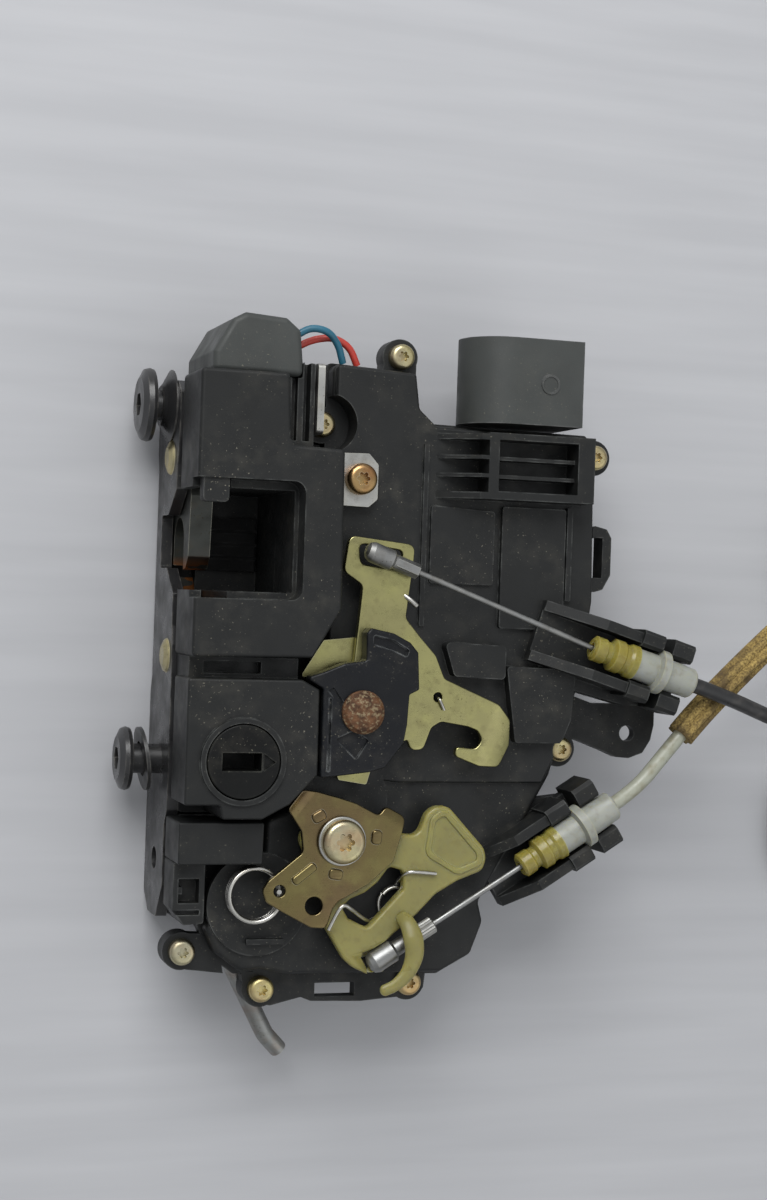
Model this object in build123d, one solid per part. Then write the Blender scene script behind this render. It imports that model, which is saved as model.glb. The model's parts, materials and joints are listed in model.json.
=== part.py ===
"""A car door latch with its lock module, lying on its back.

Every piece is drawn in millimetres in the latch's own drawing axes:
  X runs inwards from the outer face of the steel face plate,
  Y runs up the door from the middle of the striker mouth,
  Z runs from the back of the latch (0) towards the levers.
Each finished piece is then moved so that the origin lies under the middle of
the whole latch, and is written to parts/.
"""

import os
from math import cos, radians, sin, tan

from build123d import *

# ---------------------------------------------------------------- main sizes
CENTRE_X = 64.4  # middle of the latch's length, in the drawing axes
CENTRE_Y = -39.3  # middle of its height up the door

SPLIT_Z = 26.0  # where the covers stand on the back half
FLANGE_TOP = 28.0
LOWER_TOP = 34.0
PANEL_TOP = 36.0
KEY_TOP = 47.0
COVER_TOP = 50.0

# Latch: a steel face plate, with the claw and the pawl behind it.
PLATE_THICK = 3.0
PLATE_TOP_Y = 42.0
PLATE_END_Y = -99.0
MOUTH_SIDE = 13.0  # half the mouth's width
STRIKER_Z = 14.0  # where the striker lies when the door is shut
STRIKER_R = 5.5
CLAW_PIVOT = (22.0, 17.0)  # Y, Z
CLAW_REACH = 29.5
CLAW_X = (3.4, 9.2)
PAWL_PIVOT = (-30.0, 19.0)
LATCH_PIN_R = 4.0
RUNNING_FIT = 0.05
CAVITY_X = (PLATE_THICK, 9.8)
POCKET_FLOOR = 6.0

# Mounting bolts, loose in the face plate's threads.
BOLT_Z = 14.0
BOLT_R = 3.9
UPPER_BOLT_Y = 35.8
LOWER_BOLT_Y = -57.5

# Key coupling.
KEY_CENTRE = (14.7, -55.4)
KEY_RING_R = 11.1
ROTOR_R = 9.4
ROTOR_STEM_R = 4.0

# Levers.
RIVET = (45.5, -42.4)
RIVET_SHAFT_R = 4.0
RELEASE_Z = (41.0, 43.0)
COVER_PLATE_Z = (43.4, 47.6)
LOCK_PIVOT = (42.2, -75.8)
LOCK_PIN_R = 3.6
NYLON_Z = (37.2, 40.8)
LOCK_PLATE_Z = (41.9, 43.7)

# Cables: each starts at the tip of its boot and points out of the latch.
CABLE_1 = (109.6, -24.2)
CABLE_1_ANGLE = -17.2
CABLE_1_Z = 45.6
WIRE_1_ANGLE = -20.3
NIPPLE_1 = (48.2, -1.6)
CABLE_2 = (93.3, -83.3)
CABLE_2_ANGLE = 32.2
CABLE_2_Z = 40.4
WIRE_2_ANGLE = 31.6
NIPPLE_2 = (54.2, -107.4)
FERRULE_LONG = 31.0
WIRE_R = 0.75

# Connector: its outer box.
CONNECTOR_X = (75.2, 106.2)
CONNECTOR_Y = (34.4, 57.4)
CONNECTOR_Z = (18.0, 42.0)

# Crank rod: where it leaves the module, and its direction.
CRANK = (22.8, -116.0)
CRANK_ANGLE = -62.4
CRANK_Z = 18.0
CRANK_R = 2.4

# Free cables: a sheath each, then a coil on the ground.
SHEATH_1_D = 4.2
SHEATH_2_D = 4.0
SLEEVE_D = 8.0
ROUTE_1 = [
    (139.26, -33.38, 45.6),
    (150.20, -36.77, 45.6),
    (164.0, -41.9, 43.9),
    (179.0, -46.8, 38.6),
    (193.6, -51.0, 28.8),
    (206.0, -54.2, 17.4),
    (217.0, -57.0, 9.0),
    (228.5, -60.1, 5.1),
]
ROUTE_2 = [
    (119.57, -66.75, 40.4),
    (126.30, -62.52, 40.4),
    (133.6, -54.2, 40.1),
    (144.6, -41.8, 39.3),
    (160.0, -27.6, 37.8),
    (174.6, -16.6, 33.6),
    (188.0, -8.6, 26.0),
    (200.0, -3.2, 16.6),
    (210.6, 0.4, 9.0),
    (221.0, 2.0, 5.0),
]
SLEEVE_SPAN = (3, 7)  # the sleeve lies between the middles of these runs
COIL_R = 23.0  # the middle of the turns
COIL_1 = (217.0, -80.0)
COIL_2 = (220.0, 25.0)
COIL_THICK = 2.42  # radius of four turns side by side, in sheath radii
COIL_1_END = 0.0  # where the coil's tail leaves it, in degrees round the coil
COIL_2_END = 180.0
TAIL_LONG = 22.5
END_Z = 6.1  # the far ends lie on their collars

# Housing screws: X, Y of each, with their heads on the flange.
SCREWS = [
    (58.8, 51.4),
    (37.4, 32.1),
    (4.6, -106.2),
    (26.0, -116.4),
    (66.7, -115.6),
    (108.2, -52.7),
    (115.8, 27.6),
]
SCREW_HEAD_R = 3.4
SCREW_R = 1.7
EAR_HOLE = (128.8, -48.2)
EAR_HOLE_R = 2.2
TAB_SCREW = (45.0, 17.6)


# ------------------------------------------------------------ drawing helpers
def box(x0, x1, y0, y1, z0, z1):
    """A block between two corners."""
    middle = Pos((x0 + x1) / 2, (y0 + y1) / 2, (z0 + z1) / 2)
    return middle * Box(x1 - x0, y1 - y0, z1 - z0)


def disc(x, y, radius, z0, z1):
    """An upright cylinder."""
    return Pos(x, y, (z0 + z1) / 2) * Cylinder(radius, z1 - z0)


def dowel(y, z, radius, x0, x1):
    """A cylinder that lies along X."""
    return Pos((x0 + x1) / 2, y, z) * Rot(0, 90, 0) * Cylinder(radius, x1 - x0)


def face_of(points, corner=0.0):
    """A flat face through the points, with its corners rounded."""
    face = make_face(Polyline(*points, close=True))
    return fillet(face.vertices(), corner) if corner else face


def slab(points, z0, z1, corner=0.0):
    """A plate with the points' outline between two heights."""
    return extrude(Pos(0, 0, z0) * face_of(points, corner), amount=z1 - z0)


def upright(points, x0, x1, corner=0.0):
    """A plate that stands across X, its points given as Y, Z."""
    return extrude(Plane.YZ.offset(x0) * face_of(points, corner), amount=x1 - x0)


def soften(solid, radius):
    """Rounds the edges of a solid's top face."""
    return fillet(solid.faces().sort_by(Axis.Z)[-1].edges(), radius)


def along(start, angle, distance):
    """The place at a distance from the start, in the plane of X and Y."""
    turn = radians(angle)
    return start[0] + distance * cos(turn), start[1] + distance * sin(turn)


def on_cable(start, angle, height):
    """The frame of a cable: local X along it, Y across it, Z up."""
    return Pos(start[0], start[1], height) * Rot(0, 0, angle)


def turned(profile):
    """A solid of revolution along local X from (distance, radius) pairs."""
    points = [(profile[0][0], 0)] + list(profile) + [(profile[-1][0], 0)]
    face = make_face(Polyline(*points, close=True))
    return revolve(face, Axis.X)


def rod(start, angle, height, radius, length):
    """A straight round bar along a cable's direction."""
    return on_cable(start, angle, height) * Pos(length / 2, 0, 0) * Rot(0, 90, 0) * Cylinder(radius, length)


def tube_path(points):
    """Straight runs joined by arcs as large as the runs allow."""
    radii = []
    places = [Vector(*p) for p in points]
    for before, here, after in zip(places, places[1:], places[2:]):
        run = min((here - before).length, (after - here).length)
        turn = radians((here - before).get_angle(after - here))
        radii.append(0.45 * run / tan(turn / 2))
    return FilletPolyline(*points, radius=radii), radii


def swept(path, diameter, bore=0.0):
    """A round tube along a path."""
    start = Plane(origin=path @ 0, z_dir=path % 0)
    section = Circle(diameter / 2)
    if bore:
        section -= Circle(bore / 2)
    return sweep(start * section, path=path)


# ----------------------------------------------------------------- the latch
def face_plate():
    """The steel plate that is screwed to the door's edge."""
    side = [
        (PLATE_TOP_Y, 1.5), (PLATE_TOP_Y, 22), (PLATE_TOP_Y - 3, SPLIT_Z), (27, SPLIT_Z), (20, 24.5),
        (MOUTH_SIDE + 0.5, 24.5), (7, 15.5), (7, 7.5), (-7, 7.5), (-7, 15.5), (-MOUTH_SIDE - 0.5, 24.5),
        (-22, 24.5), (-27, SPLIT_Z), (-70, SPLIT_Z), (-74, 23), (-90, 23), (PLATE_END_Y, 16),
        (PLATE_END_Y, 6), (-94, 0), (-40, 0), (-36, 1.5), (20, 1.5), (24, 0), (38, 0),
    ]
    plate = upright(side, 0, PLATE_THICK, corner=1.0)
    for y in (UPPER_BOLT_Y, LOWER_BOLT_Y):
        plate -= dowel(y, BOLT_Z, BOLT_R + 0.1, -1, PLATE_THICK + 1)
    for y, z in (CLAW_PIVOT, PAWL_PIVOT):
        plate -= dowel(y, z, LATCH_PIN_R - 0.6, -1, PLATE_THICK + 1)
    plate -= dowel(-84, 12, 3.0, -1, PLATE_THICK + 1)
    return plate


def latch_pin(y, z):
    """A pin riveted in the face plate, with its domed head outside."""
    shank = dowel(y, z, LATCH_PIN_R - 0.6, 0, PLATE_THICK)
    bearing = dowel(y, z, LATCH_PIN_R, PLATE_THICK, 13)
    head = Pos(0, y, z) * turned([(-1.3, 2.6), (-0.6, 4.2), (0, 4.6)])
    return head + shank + bearing


def claw():
    """The forked catch that closes round the striker."""
    y, z = CLAW_PIVOT
    arms = [(25, 25.4), (12, 27.0), (-4, 25.4), (-9, 21), (-9, 3.4), (6, 3.0), (18, 7.8), (25, 8.6)]
    reach = Pos(y, z) * Circle(CLAW_REACH)
    body = face_of(arms, 0.8) & reach
    body += Pos(y, z) * Circle(9.2)
    throat = Pos(0.5, STRIKER_Z) * Circle(STRIKER_R + 0.5)
    throat += Pos(-9.5, STRIKER_Z) * Rectangle(20, 2 * STRIKER_R + 1)
    body -= throat
    body -= Pos(y, z) * Circle(LATCH_PIN_R + RUNNING_FIT)
    body -= Pos(y + 4, z + 6.0) * Circle(1.0)
    return extrude(Plane.YZ.offset(CLAW_X[0]) * body, amount=CLAW_X[1] - CLAW_X[0])


def pawl():
    """The catch that holds the claw shut."""
    y, z = PAWL_PIVOT
    nose = [(y - 3, z - 6.2), (y + 14, 7.0), (y + 20.6, 5.6), (y + 20.8, 9.4), (y + 8, z + 1), (y, z + 6.4)]
    tail = [(y - 5, z - 4), (y - 5, z + 5), (y - 8.6, z + 4.4), (y - 9, z + 0.6)]
    body = face_of(nose, 0.5) + face_of(tail, 0.4) + Pos(y, z) * Circle(7)
    body -= Pos(y, z) * Circle(LATCH_PIN_R + RUNNING_FIT)
    return extrude(Plane.YZ.offset(CLAW_X[0]) * body, amount=5.0)


def claw_room(z0, z1):
    """The space in which the claw and the pawl swing."""
    x0, x1 = CAVITY_X
    return box(x0, x1, -42, 35, z0, z1)


def latch_cover():
    """The moulded cover over the latch's upper end, with the striker's mouth in it."""
    top = [
        (0, 42.8), (22.8, 42.8), (23.6, 27.0), (25.0, 24.8), (37.9, 24.3), (38.4, -16.4), (31.2, -28.8),
        (0, -29.2),
    ]
    cover = slab(top, SPLIT_Z, COVER_TOP, corner=1.2)
    cover = soften(cover, 1.0)
    cover -= claw_room(SPLIT_Z - 1, 47.4)
    mouth = slab([(-2, 15.6), (27.8, 15.6), (27.8, -14.4), (-2, -14.4)], 44, COVER_TOP + 1)
    mouth = fillet(mouth.edges().filter_by(Axis.Z).sort_by(Axis.X)[-2:], 3.0)
    cover -= mouth
    cover -= box(-2, 26.6, -12.6, 13.4, SPLIT_Z - 1, 45)
    cover -= disc(24.6, 27.2, 1.6, 40, COVER_TOP + 1)
    cover -= box(-1, 1.2, -30, 43, SPLIT_Z - 1, 30)
    step = slab([
        (23.0, 24), (31.8, 24), (31.8, 46.5), (28.4, 46.8), (28.4, 42.6), (23.0, 42.6),
    ], SPLIT_Z, 41, corner=0.6)
    step -= box(25.6, 27.2, 26.5, 48, 38.5, 42)
    step -= box(28.8, 30.6, 26.5, 48, 37, 42)
    lug = box(1.6, 8.2, 9.6, 16.4, 45.2, 49.2)
    return cover + (step - slab(top, SPLIT_Z - 1, COVER_TOP)) + fillet(lug.edges().filter_by(Axis.Z), 1.2)


def latch_base():
    """The moulded back half behind the face plate."""
    x0 = PLATE_THICK
    plan = [(x0, 42), (36, 42), (37.8, 38), (37.8, -68), (24, -70.4), (x0, -70.4)]
    base = slab(plan, 0, SPLIT_Z, corner=1.0)
    base -= claw_room(1.6, SPLIT_Z + 1)
    base -= box(x0 - 1, 26.6, -12.6, 13.4, POCKET_FLOOR, SPLIT_Z + 1)
    for y, z in (CLAW_PIVOT, PAWL_PIVOT):
        base -= dowel(y, z, LATCH_PIN_R + 0.02, 0, 13.1)
    for y in (UPPER_BOLT_Y, LOWER_BOLT_Y):
        base -= dowel(y, BOLT_Z, BOLT_R + 0.6, 0, 19)
    base -= disc(SCREWS[1][0], SCREWS[1][1], 5.2, 20, SPLIT_Z + 1)
    for y in (-60, -36, 30):
        base -= box(14, 34, y - 4, y + 4, -1, 2.2)
    return base


def bumper():
    """The rubber stop at the bottom of the mouth."""
    pad = box(10.2, 26.2, -7, 7, POCKET_FLOOR, POCKET_FLOOR + 2.0)
    pad = fillet(pad.edges().filter_by(Axis.Y).sort_by(Axis.Z)[-2:], 0.9)
    for y in (-3.5, 0, 3.5):
        pad -= box(10, 26.4, y - 0.4, y + 0.4, POCKET_FLOOR + 1.2, POCKET_FLOOR + 3)
    return pad


def end_cap():
    """The grey cap over the switch at the upper end."""
    cap = slab([
        (4.6, 42.9), (4.6, 48), (9.3, 56.4), (12.7, 58.3), (23.5, 57.6), (27.2, 54.6), (28.0, 47.1),
        (28, 42.9),
    ], 13, 43, corner=1.4)
    return soften(cap, 1.6)


def side_bar():
    """The zinc-plated stiffening bar, seen on edge beside the upper cover."""
    bar = box(32.2, 34.0, 28.6, 46.6, 29.0, 42.5)
    return fillet(bar.edges().filter_by(Axis.X).sort_by(Axis.Z)[-2:], 1.2)


def lead(points):
    """A thin insulated wire between the switch and the module."""
    path, _ = tube_path(points)
    return swept(path, 1.9)


# ------------------------------------------------------------- mounting bolts
def bolt(y, head_x, head_r, head_thick):
    """A captive mounting bolt with a wide pan head."""
    shank = dowel(y, BOLT_Z, BOLT_R, head_x, 16)
    shank = chamfer(shank.faces().sort_by(Axis.X)[-1].edges(), 1.0)
    profile = [
        (head_x - head_thick, head_r - 2.6), (head_x - head_thick + 1.1, head_r - 0.4),
        (head_x - 1.0, head_r), (head_x, head_r - 0.3),
    ]
    head = Pos(0, y, BOLT_Z) * turned(profile)
    socket = RegularPolygon(3.3, 6)
    hollow = Pos(head_x - head_thick - 1, y, BOLT_Z) * Rot(0, 90, 0) * extrude(socket, amount=3)
    return head + shank - hollow


def upper_washer():
    """The upper bolt's conical spring washer."""
    ring = turned([(-3.0, 5.2), (-2.2, 6.2), (-0.4, 9.6), (-0.05, 9.6)])
    return Pos(0, UPPER_BOLT_Y, BOLT_Z) * ring - dowel(UPPER_BOLT_Y, BOLT_Z, BOLT_R + 0.15, -5, 1)


def lower_washer():
    """The lower bolt's thin loose washer, leaning on the shank."""
    ring = Rot(0, 90, 0) * (Cylinder(8.4, 1.0) - Cylinder(BOLT_R + 0.75, 3))
    return Pos(-4.4, LOWER_BOLT_Y, BOLT_Z) * Rot(0, 0, 8) * ring


# ----------------------------------------------------------------- key block
def key_housing():
    """The block that guides the key coupling."""
    plan = [
        (0, -34.6), (29.6, -34.5), (34.2, -36.9), (34.4, -58.6), (27.3, -66.2), (20.2, -70), (9.8, -70),
        (9.2, -66.5), (0, -66.5),
    ]
    block = soften(slab(plan, SPLIT_Z, KEY_TOP, corner=0.8), 0.7)
    x, y = KEY_CENTRE
    block += disc(x, y, KEY_RING_R, KEY_TOP - 1, KEY_TOP + 0.9)
    block -= disc(x, y, ROTOR_R + 0.3, 38, COVER_TOP)
    block -= disc(x, y, ROTOR_STEM_R + RUNNING_FIT, 30, COVER_TOP)
    bridge = box(1.2, 29.8, -34.6, -29.3, SPLIT_Z, 41)
    bridge -= box(5, 20, -33.4, -30.4, 38, 42)
    block += bridge
    block -= box(-1, 1.2, -67, -34, SPLIT_Z - 1, 31)
    return block


def key_rotor():
    """The round follower that the lock cylinder's tail turns."""
    x, y = KEY_CENTRE
    top = KEY_TOP + 1.0
    rotor = disc(x, y, ROTOR_R, 38.2, top)
    rotor = fillet(rotor.faces().sort_by(Axis.Z)[-1].edges(), 0.4)
    rotor += disc(x, y, ROTOR_STEM_R, 30.4, 38.4)
    slot = box(x - 5.6, x + 4.6, y - 2.3, y + 2.3, 40, top + 1)
    pointer = slab([(x + 5.2, y - 2.1), (x + 5.2, y + 2.1), (x + 8.2, y)], top - 0.7, top + 1)
    return rotor - slot - pointer


def corner_block():
    """The moulded guide at the latch's lower corner."""
    upper = soften(slab([(0, -71.3), (22.2, -71.3), (22.0, -82.0), (0, -82.0)], SPLIT_Z, 42, corner=0.6), 0.5)
    lower = slab([(0, -82), (8.2, -82), (8.2, -97.6), (3, -98), (0, -94)], SPLIT_Z, 37, corner=0.6)
    lower -= box(1.4, 6.8, -92.4, -86.2, 33, 38)
    lower += box(1.4, 2.6, -90.2, -88.4, 33, 36.2)
    lower -= box(-1, 7.0, -95.4, -94.2, 35.4, 38)
    back = slab([
        (PLATE_THICK, -70.9), (24, -70.9), (24, -84), (9, -98.4), (PLATE_THICK, -98.4),
    ], 2, SPLIT_Z, corner=0.8)
    return upper + lower + back


# ------------------------------------------------------------ module housing
PANEL = [
    (38.8, 48.0), (61.4, 46.9), (62.7, 37.5), (67.4, 33.3), (113.0, 32.6), (114.0, -12.0),
    (111.0, -34.0), (105.8, -52.0), (103.6, -59.6), (84.4, -93.6), (85.8, -99.0), (82.6, -107.6),
    (74.0, -112.2), (31.4, -111.8), (24.4, -110.2), (19.0, -110.8), (12.4, -106.0), (9.2, -99.4),
    (24.6, -84.4), (24.6, -71.4), (38.8, -66.0),
]
UPPER_PANEL = [
    (38.8, 48.0), (61.4, 46.9), (62.7, 37.5), (67.4, 33.3), (113.0, 32.6), (114.0, -12.0), (111.0, -34.0),
    (105.8, -52.0), (101.0, -62.0), (60.0, -62.0), (38.8, -60.0),
]


def rear_housing():
    """The module's back shell with its screw flange."""
    shell = slab([
        (39.2, 44), (60, 43.6), (62, 35), (67, 31.6), (112, 31), (112.6, -12), (104, -52), (101, -60),
        (83, -93), (84, -99), (80, -107), (73, -110.4), (30, -110), (19, -109), (14, -104.6),
        (10.4, -99), (24.8, -84.6), (24.8, -71.4), (39.2, -68.6),
    ], 2, 24, corner=1.6)
    shell = chamfer(shell.faces().sort_by(Axis.Z)[0].edges(), 1.4)
    rim = slab([
        (38.6, 48.6), (62.2, 47.6), (63.6, 38), (68, 34.2), (113.8, 33.6), (115.2, -12), (112.2, -34),
        (106.8, -52), (104.6, -60.4), (85.6, -93.8), (87.2, -99), (83.8, -108.6), (75, -113.6),
        (31, -113.4), (24, -111.8), (18.6, -112.4), (11.2, -107), (8.6, -99.2), (24.6, -84.2),
        (24.6, -71), (38.6, -68),
    ], 24, FLANGE_TOP, corner=1.2)
    rear = shell + rim
    for x, y in SCREWS:
        rear += disc(x, y, 4.9, 22, FLANGE_TOP)
    rear += slab([(54, 44), (54.4, 52), (63.4, 52), (63.4, 44)], 22, FLANGE_TOP)
    rear += slab([(111, 23.2), (115.8, 22.7), (115.8, 32.5), (111, 32.5)], 24, FLANGE_TOP)
    rear += slab([(3.5, -101.5), (0.2, -108), (6, -111), (16, -112.2), (14, -102)], 24, FLANGE_TOP)
    rear += slab([
        (20.6, -112), (23, -120), (29, -121), (37.2, -119), (40, -120.1), (53.8, -120.5), (65, -119.6),
        (71.4, -117.6), (72, -112),
    ], 24, FLANGE_TOP, corner=0.8)
    rear -= box(41, 52, -119.0, -115.4, 20, 30)
    rear += ear()
    for x, y in ((46, -20), (46, 30), (70, -100), (104, 20), (100, -30), (40, -100)):
        rear += disc(x, y, 4, 0, 2.5)
    for y in (-80, -50, -20, 10):
        rear += box(44, 96 if y > -60 else 80, y - 0.8, y + 0.8, 0.6, 2.5)
    rear += disc(80, -46, 12, 0.6, 2.5) - disc(80, -46, 9.6, 0, 3)
    for x, y in SCREWS:
        rear -= disc(x, y, SCREW_R + 0.1, 12, 30)
    rear -= crank_bore()
    return rear - lever_holes()


def ear():
    """The fixing ear beside the cable bracket."""
    plan = [
        (106, -36), (118, -40), (137, -40), (137, -45.8), (136.1, -50), (133.8, -53.6), (129.6, -55.1),
        (125.6, -54.8), (121, -52.9), (113, -50), (106, -52),
    ]
    plate = slab(plan, 25, FLANGE_TOP, corner=0.9)
    return plate - disc(EAR_HOLE[0], EAR_HOLE[1], EAR_HOLE_R, 20, 30)


def front_housing():
    """The module's front shell: a raised panel above and a rounded body below."""
    lower = soften(slab(PANEL, FLANGE_TOP, LOWER_TOP, corner=2.2), 1.4)
    raised = Pos(0, 0, LOWER_TOP - 2) * offset(face_of(UPPER_PANEL, 1.4), amount=-0.5)
    upper = soften(extrude(raised, amount=PANEL_TOP - LOWER_TOP + 2), 0.8)
    front = lower + upper
    front += panel_relief()
    front += louvre_box()
    front += lever_bosses()
    front -= disc(SCREWS[1][0], SCREWS[1][1], 7.6, FLANGE_TOP, 40)
    front -= disc(SCREWS[0][0], SCREWS[0][1], 4.6, FLANGE_TOP, 40)
    front -= disc(SCREWS[5][0], SCREWS[5][1], 4.8, FLANGE_TOP, 40)
    front -= disc(SCREWS[6][0], SCREWS[6][1], 4.2, FLANGE_TOP, 40)
    front -= box(-1, 22.4, -82.3, -70, FLANGE_TOP - 1, 50)
    return front - lever_holes()


def panel_relief():
    """Steps, ribs and pads moulded on the upper panel."""
    pads = slab([(70, -24), (87.4, -24.6), (87.4, -33.6), (73, -33)], 34, 40, corner=1.2)
    pads += slab([(88, -30), (108, -30.6), (107, -44), (104.4, -50.4), (91, -50.4)], 34, 39.4, corner=1.0)
    pads += slab([(66, 12), (84, 11), (84, -8.6), (66, -8.6)], 35, 37.0, corner=0.8)
    pads += slab([(86, 12.5), (104.4, 12.5), (104.4, -20), (86, -20)], 35, 37.4, corner=0.8)
    pads += box(63.6, 65.0, -20, 28, 35, 36.8)
    pads += box(104.8, 106.4, -12, 13, 35, 37.4)
    return pads


def louvre_box():
    """The ribbed guard below the connector."""
    frame = box(79.2, 109.4, 14.0, 31.6, 35, 44)
    frame -= box(82.0, 104.6, 16.2, 29.8, 34.6, 46)
    for y in (20.2, 25.0):
        frame += box(81.5, 105, y - 0.5, y + 0.5, 35, 41.5)
    rib = Plane.XZ * face_of([(66, 35), (79.6, 35), (79.6, 44), (77.0, 44)])
    for y, thick in ((31.2, 1.6), (25.5, 1.0), (20.7, 1.0), (15.8, 1.8)):
        frame += Pos(0, y, 0) * extrude(rib, amount=thick)
    return frame


def lever_bosses():
    """Raised seats under the levers."""
    seats = disc(LOCK_PIVOT[0], LOCK_PIVOT[1], 9.0, LOWER_TOP - 1, NYLON_Z[0] - 0.3)
    seats += disc(45.0, -66.0, 11.6, LOWER_TOP - 1, NYLON_Z[0] - 0.6)
    seats += disc(22.8, -93.2, 13.4, LOWER_TOP - 1, 35.0)
    seats += box(19.8, 29.8, -103.4, -102.0, LOWER_TOP - 1, 36.6)
    seats += disc(RIVET[0], RIVET[1], 10.5, PANEL_TOP - 1, RELEASE_Z[0] - 0.3)
    return seats


def lever_holes():
    """Holes for the rivet, the pivot screw and the tab's screw."""
    holes = disc(RIVET[0], RIVET[1], RIVET_SHAFT_R + 0.02, 20, 50)
    holes += disc(LOCK_PIVOT[0], LOCK_PIVOT[1], LOCK_PIN_R + 0.02, 22, 50)
    return holes + disc(*TAB_SCREW, 2.25, 22, 50)


def cable_bracket(start, angle, height, back):
    """A trough with two pairs of jaws that grip a cable's ferrule by its collar."""
    floor_top = height - 6.6
    trough = box(-back, 29.5, -8.4, 8.4, floor_top - 3.2, floor_top)
    side = Plane.XZ * face_of([
        (-back, floor_top - height - 1), (19, floor_top - height - 1), (19, 1.6), (2, 1.6),
        (-back, floor_top - height + 1),
    ])
    walls = Pos(0, -5.6, 0) * extrude(side, amount=2.8) + Pos(0, 8.4, 0) * extrude(side, amount=2.8)
    trough = Pos(0, 0, -height) * trough + walls
    near = box(12.6, 19.0, 4.9, 9.4, floor_top - height - 1, 2.6)
    far = box(22.2, 28.6, 4.7, 9.8, floor_top - height - 3.2, 1.8)
    for jaw in (near, far):
        jaw = chamfer(jaw.edges().filter_by(Axis.X).sort_by(Axis.Z)[-2:], 0.9)
        trough += jaw
        trough += mirror(jaw, Plane.XZ)
    return on_cable(start, angle, height) * trough


def bracket_1():
    """The upper cable's bracket with the web that carries it."""
    web = slab([
        (100, -14), (120, -20), (136, -26), (138, -40), (124, -40), (108, -36), (98, -30),
    ], FLANGE_TOP, 36.2, corner=1.0)
    grip = cable_bracket(CABLE_1, CABLE_1_ANGLE, CABLE_1_Z, 14.0)
    return web + grip


def bracket_2():
    """The lower cable's bracket with the web that carries it."""
    web = slab([
        (86, -90), (92, -78), (100, -66), (116, -64), (119, -76), (112, -82),
    ], FLANGE_TOP, 31.4, corner=1.0)
    grip = cable_bracket(CABLE_2, CABLE_2_ANGLE, CABLE_2_Z, 8.0)
    return web + grip


def side_loop():
    """The small moulded eye on the module's free side."""
    loop = slab([
        (115.2, 9), (119.4, 8), (120.8, 5.6), (120.8, -4.6), (118.6, -8.6), (115.2, -9.6),
    ], 25, 31, corner=0.8)
    return loop - box(115.2, 118.2, -5.4, 5.6, 24, 32)


def connector_outline():
    """The plug housing's D: a half round, then straight sides."""
    x0, x1 = CONNECTOR_X
    z0, z1 = CONNECTOR_Z
    rounded = (z1 - z0) / 2
    middle = (z0 + z1) / 2
    straight = x1 - x0 - rounded
    half_round = Pos(x0 + rounded, middle) * Circle(rounded)
    return half_round + Pos(x1 - straight / 2, middle) * Rectangle(straight, z1 - z0)


def connector_shroud():
    """The D-shaped plug housing, open at its upper end."""
    y0, y1 = CONNECTOR_Y
    outline = connector_outline()
    wall = outline - offset(outline, amount=-1.8, kind=Kind.ARC)
    tube = extrude(Plane.XZ.offset(-y1) * wall, amount=y1 - y0)
    floor = extrude(Plane.XZ.offset(-y0 - 3.0) * outline, amount=3.0)
    top = CONNECTOR_Z[1]
    mark = disc(96.6, 45.4, 2.6, top - 0.2, top + 0.35) - disc(96.6, 45.4, 2.1, top, top + 1)
    return tube + floor + mark


def connector_pins():
    """The plug's contact blades in two rows."""
    pins = []
    for row in (26.5, 33.5):
        for k in range(6):
            pins.append(box(81.4 + 4.0 * k, 82.2 + 4.0 * k, 37.4, 46.0, row - 0.4, row + 0.4))
    return pins


# ---------------------------------------------------------------- fasteners
def torx(radius):
    """A six-lobed recess as a flat outline."""
    star = Circle(radius * 0.72)
    for k in range(6):
        star += Rot(0, 0, 60 * k) * Pos(radius * 0.72, 0) * Circle(radius * 0.28)
    return star


def pan_screw(x, y, seat, head_r, head_high, shank_r, shank_long):
    """A pan-head screw with a six-lobed recess."""
    head = disc(x, y, head_r, seat, seat + head_high)
    head = fillet(head.faces().sort_by(Axis.Z)[-1].edges(), head_high * 0.45)
    recess = extrude(Pos(x, y, seat + 0.5 * head_high) * torx(head_r * 0.44), amount=head_high)
    return head + disc(x, y, shank_r, seat - shank_long, seat) - recess


def housing_screws():
    """The seven screws that hold the two shells together."""
    return [pan_screw(x, y, FLANGE_TOP, SCREW_HEAD_R, 3.0, SCREW_R, 6.5) for x, y in SCREWS]


def tab_plate():
    """The zinc-plated tab by which the latch is screwed to the module."""
    tab = slab([
        (38.6, 24.2), (47.4, 24.4), (50.0, 21.6), (50.0, 12.6), (47.6, 10.5), (38.6, 10.7),
    ], 38.0, 39.8, corner=0.8)
    foot = box(38.6, 40.4, 10.9, 24.0, PANEL_TOP, 38.4)
    return tab + foot - disc(*TAB_SCREW, 2.3, 30, 45)


def rivet():
    """The thick rivet on which the release lever turns."""
    x, y = RIVET
    head = turned([(0, 5.6), (1.0, 5.6), (2.0, 4.6), (2.4, 2.5)])
    head = Pos(x, y, COVER_PLATE_Z[1]) * Rot(0, -90, 0) * head
    return head + disc(x, y, RIVET_SHAFT_R, 22, COVER_PLATE_Z[1])


def pivot_screw():
    """The shouldered screw of the lock levers."""
    x, y = LOCK_PIVOT
    return pan_screw(x, y, LOCK_PLATE_Z[1] + 0.5, 5.7, 3.6, LOCK_PIN_R, 20)


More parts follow.
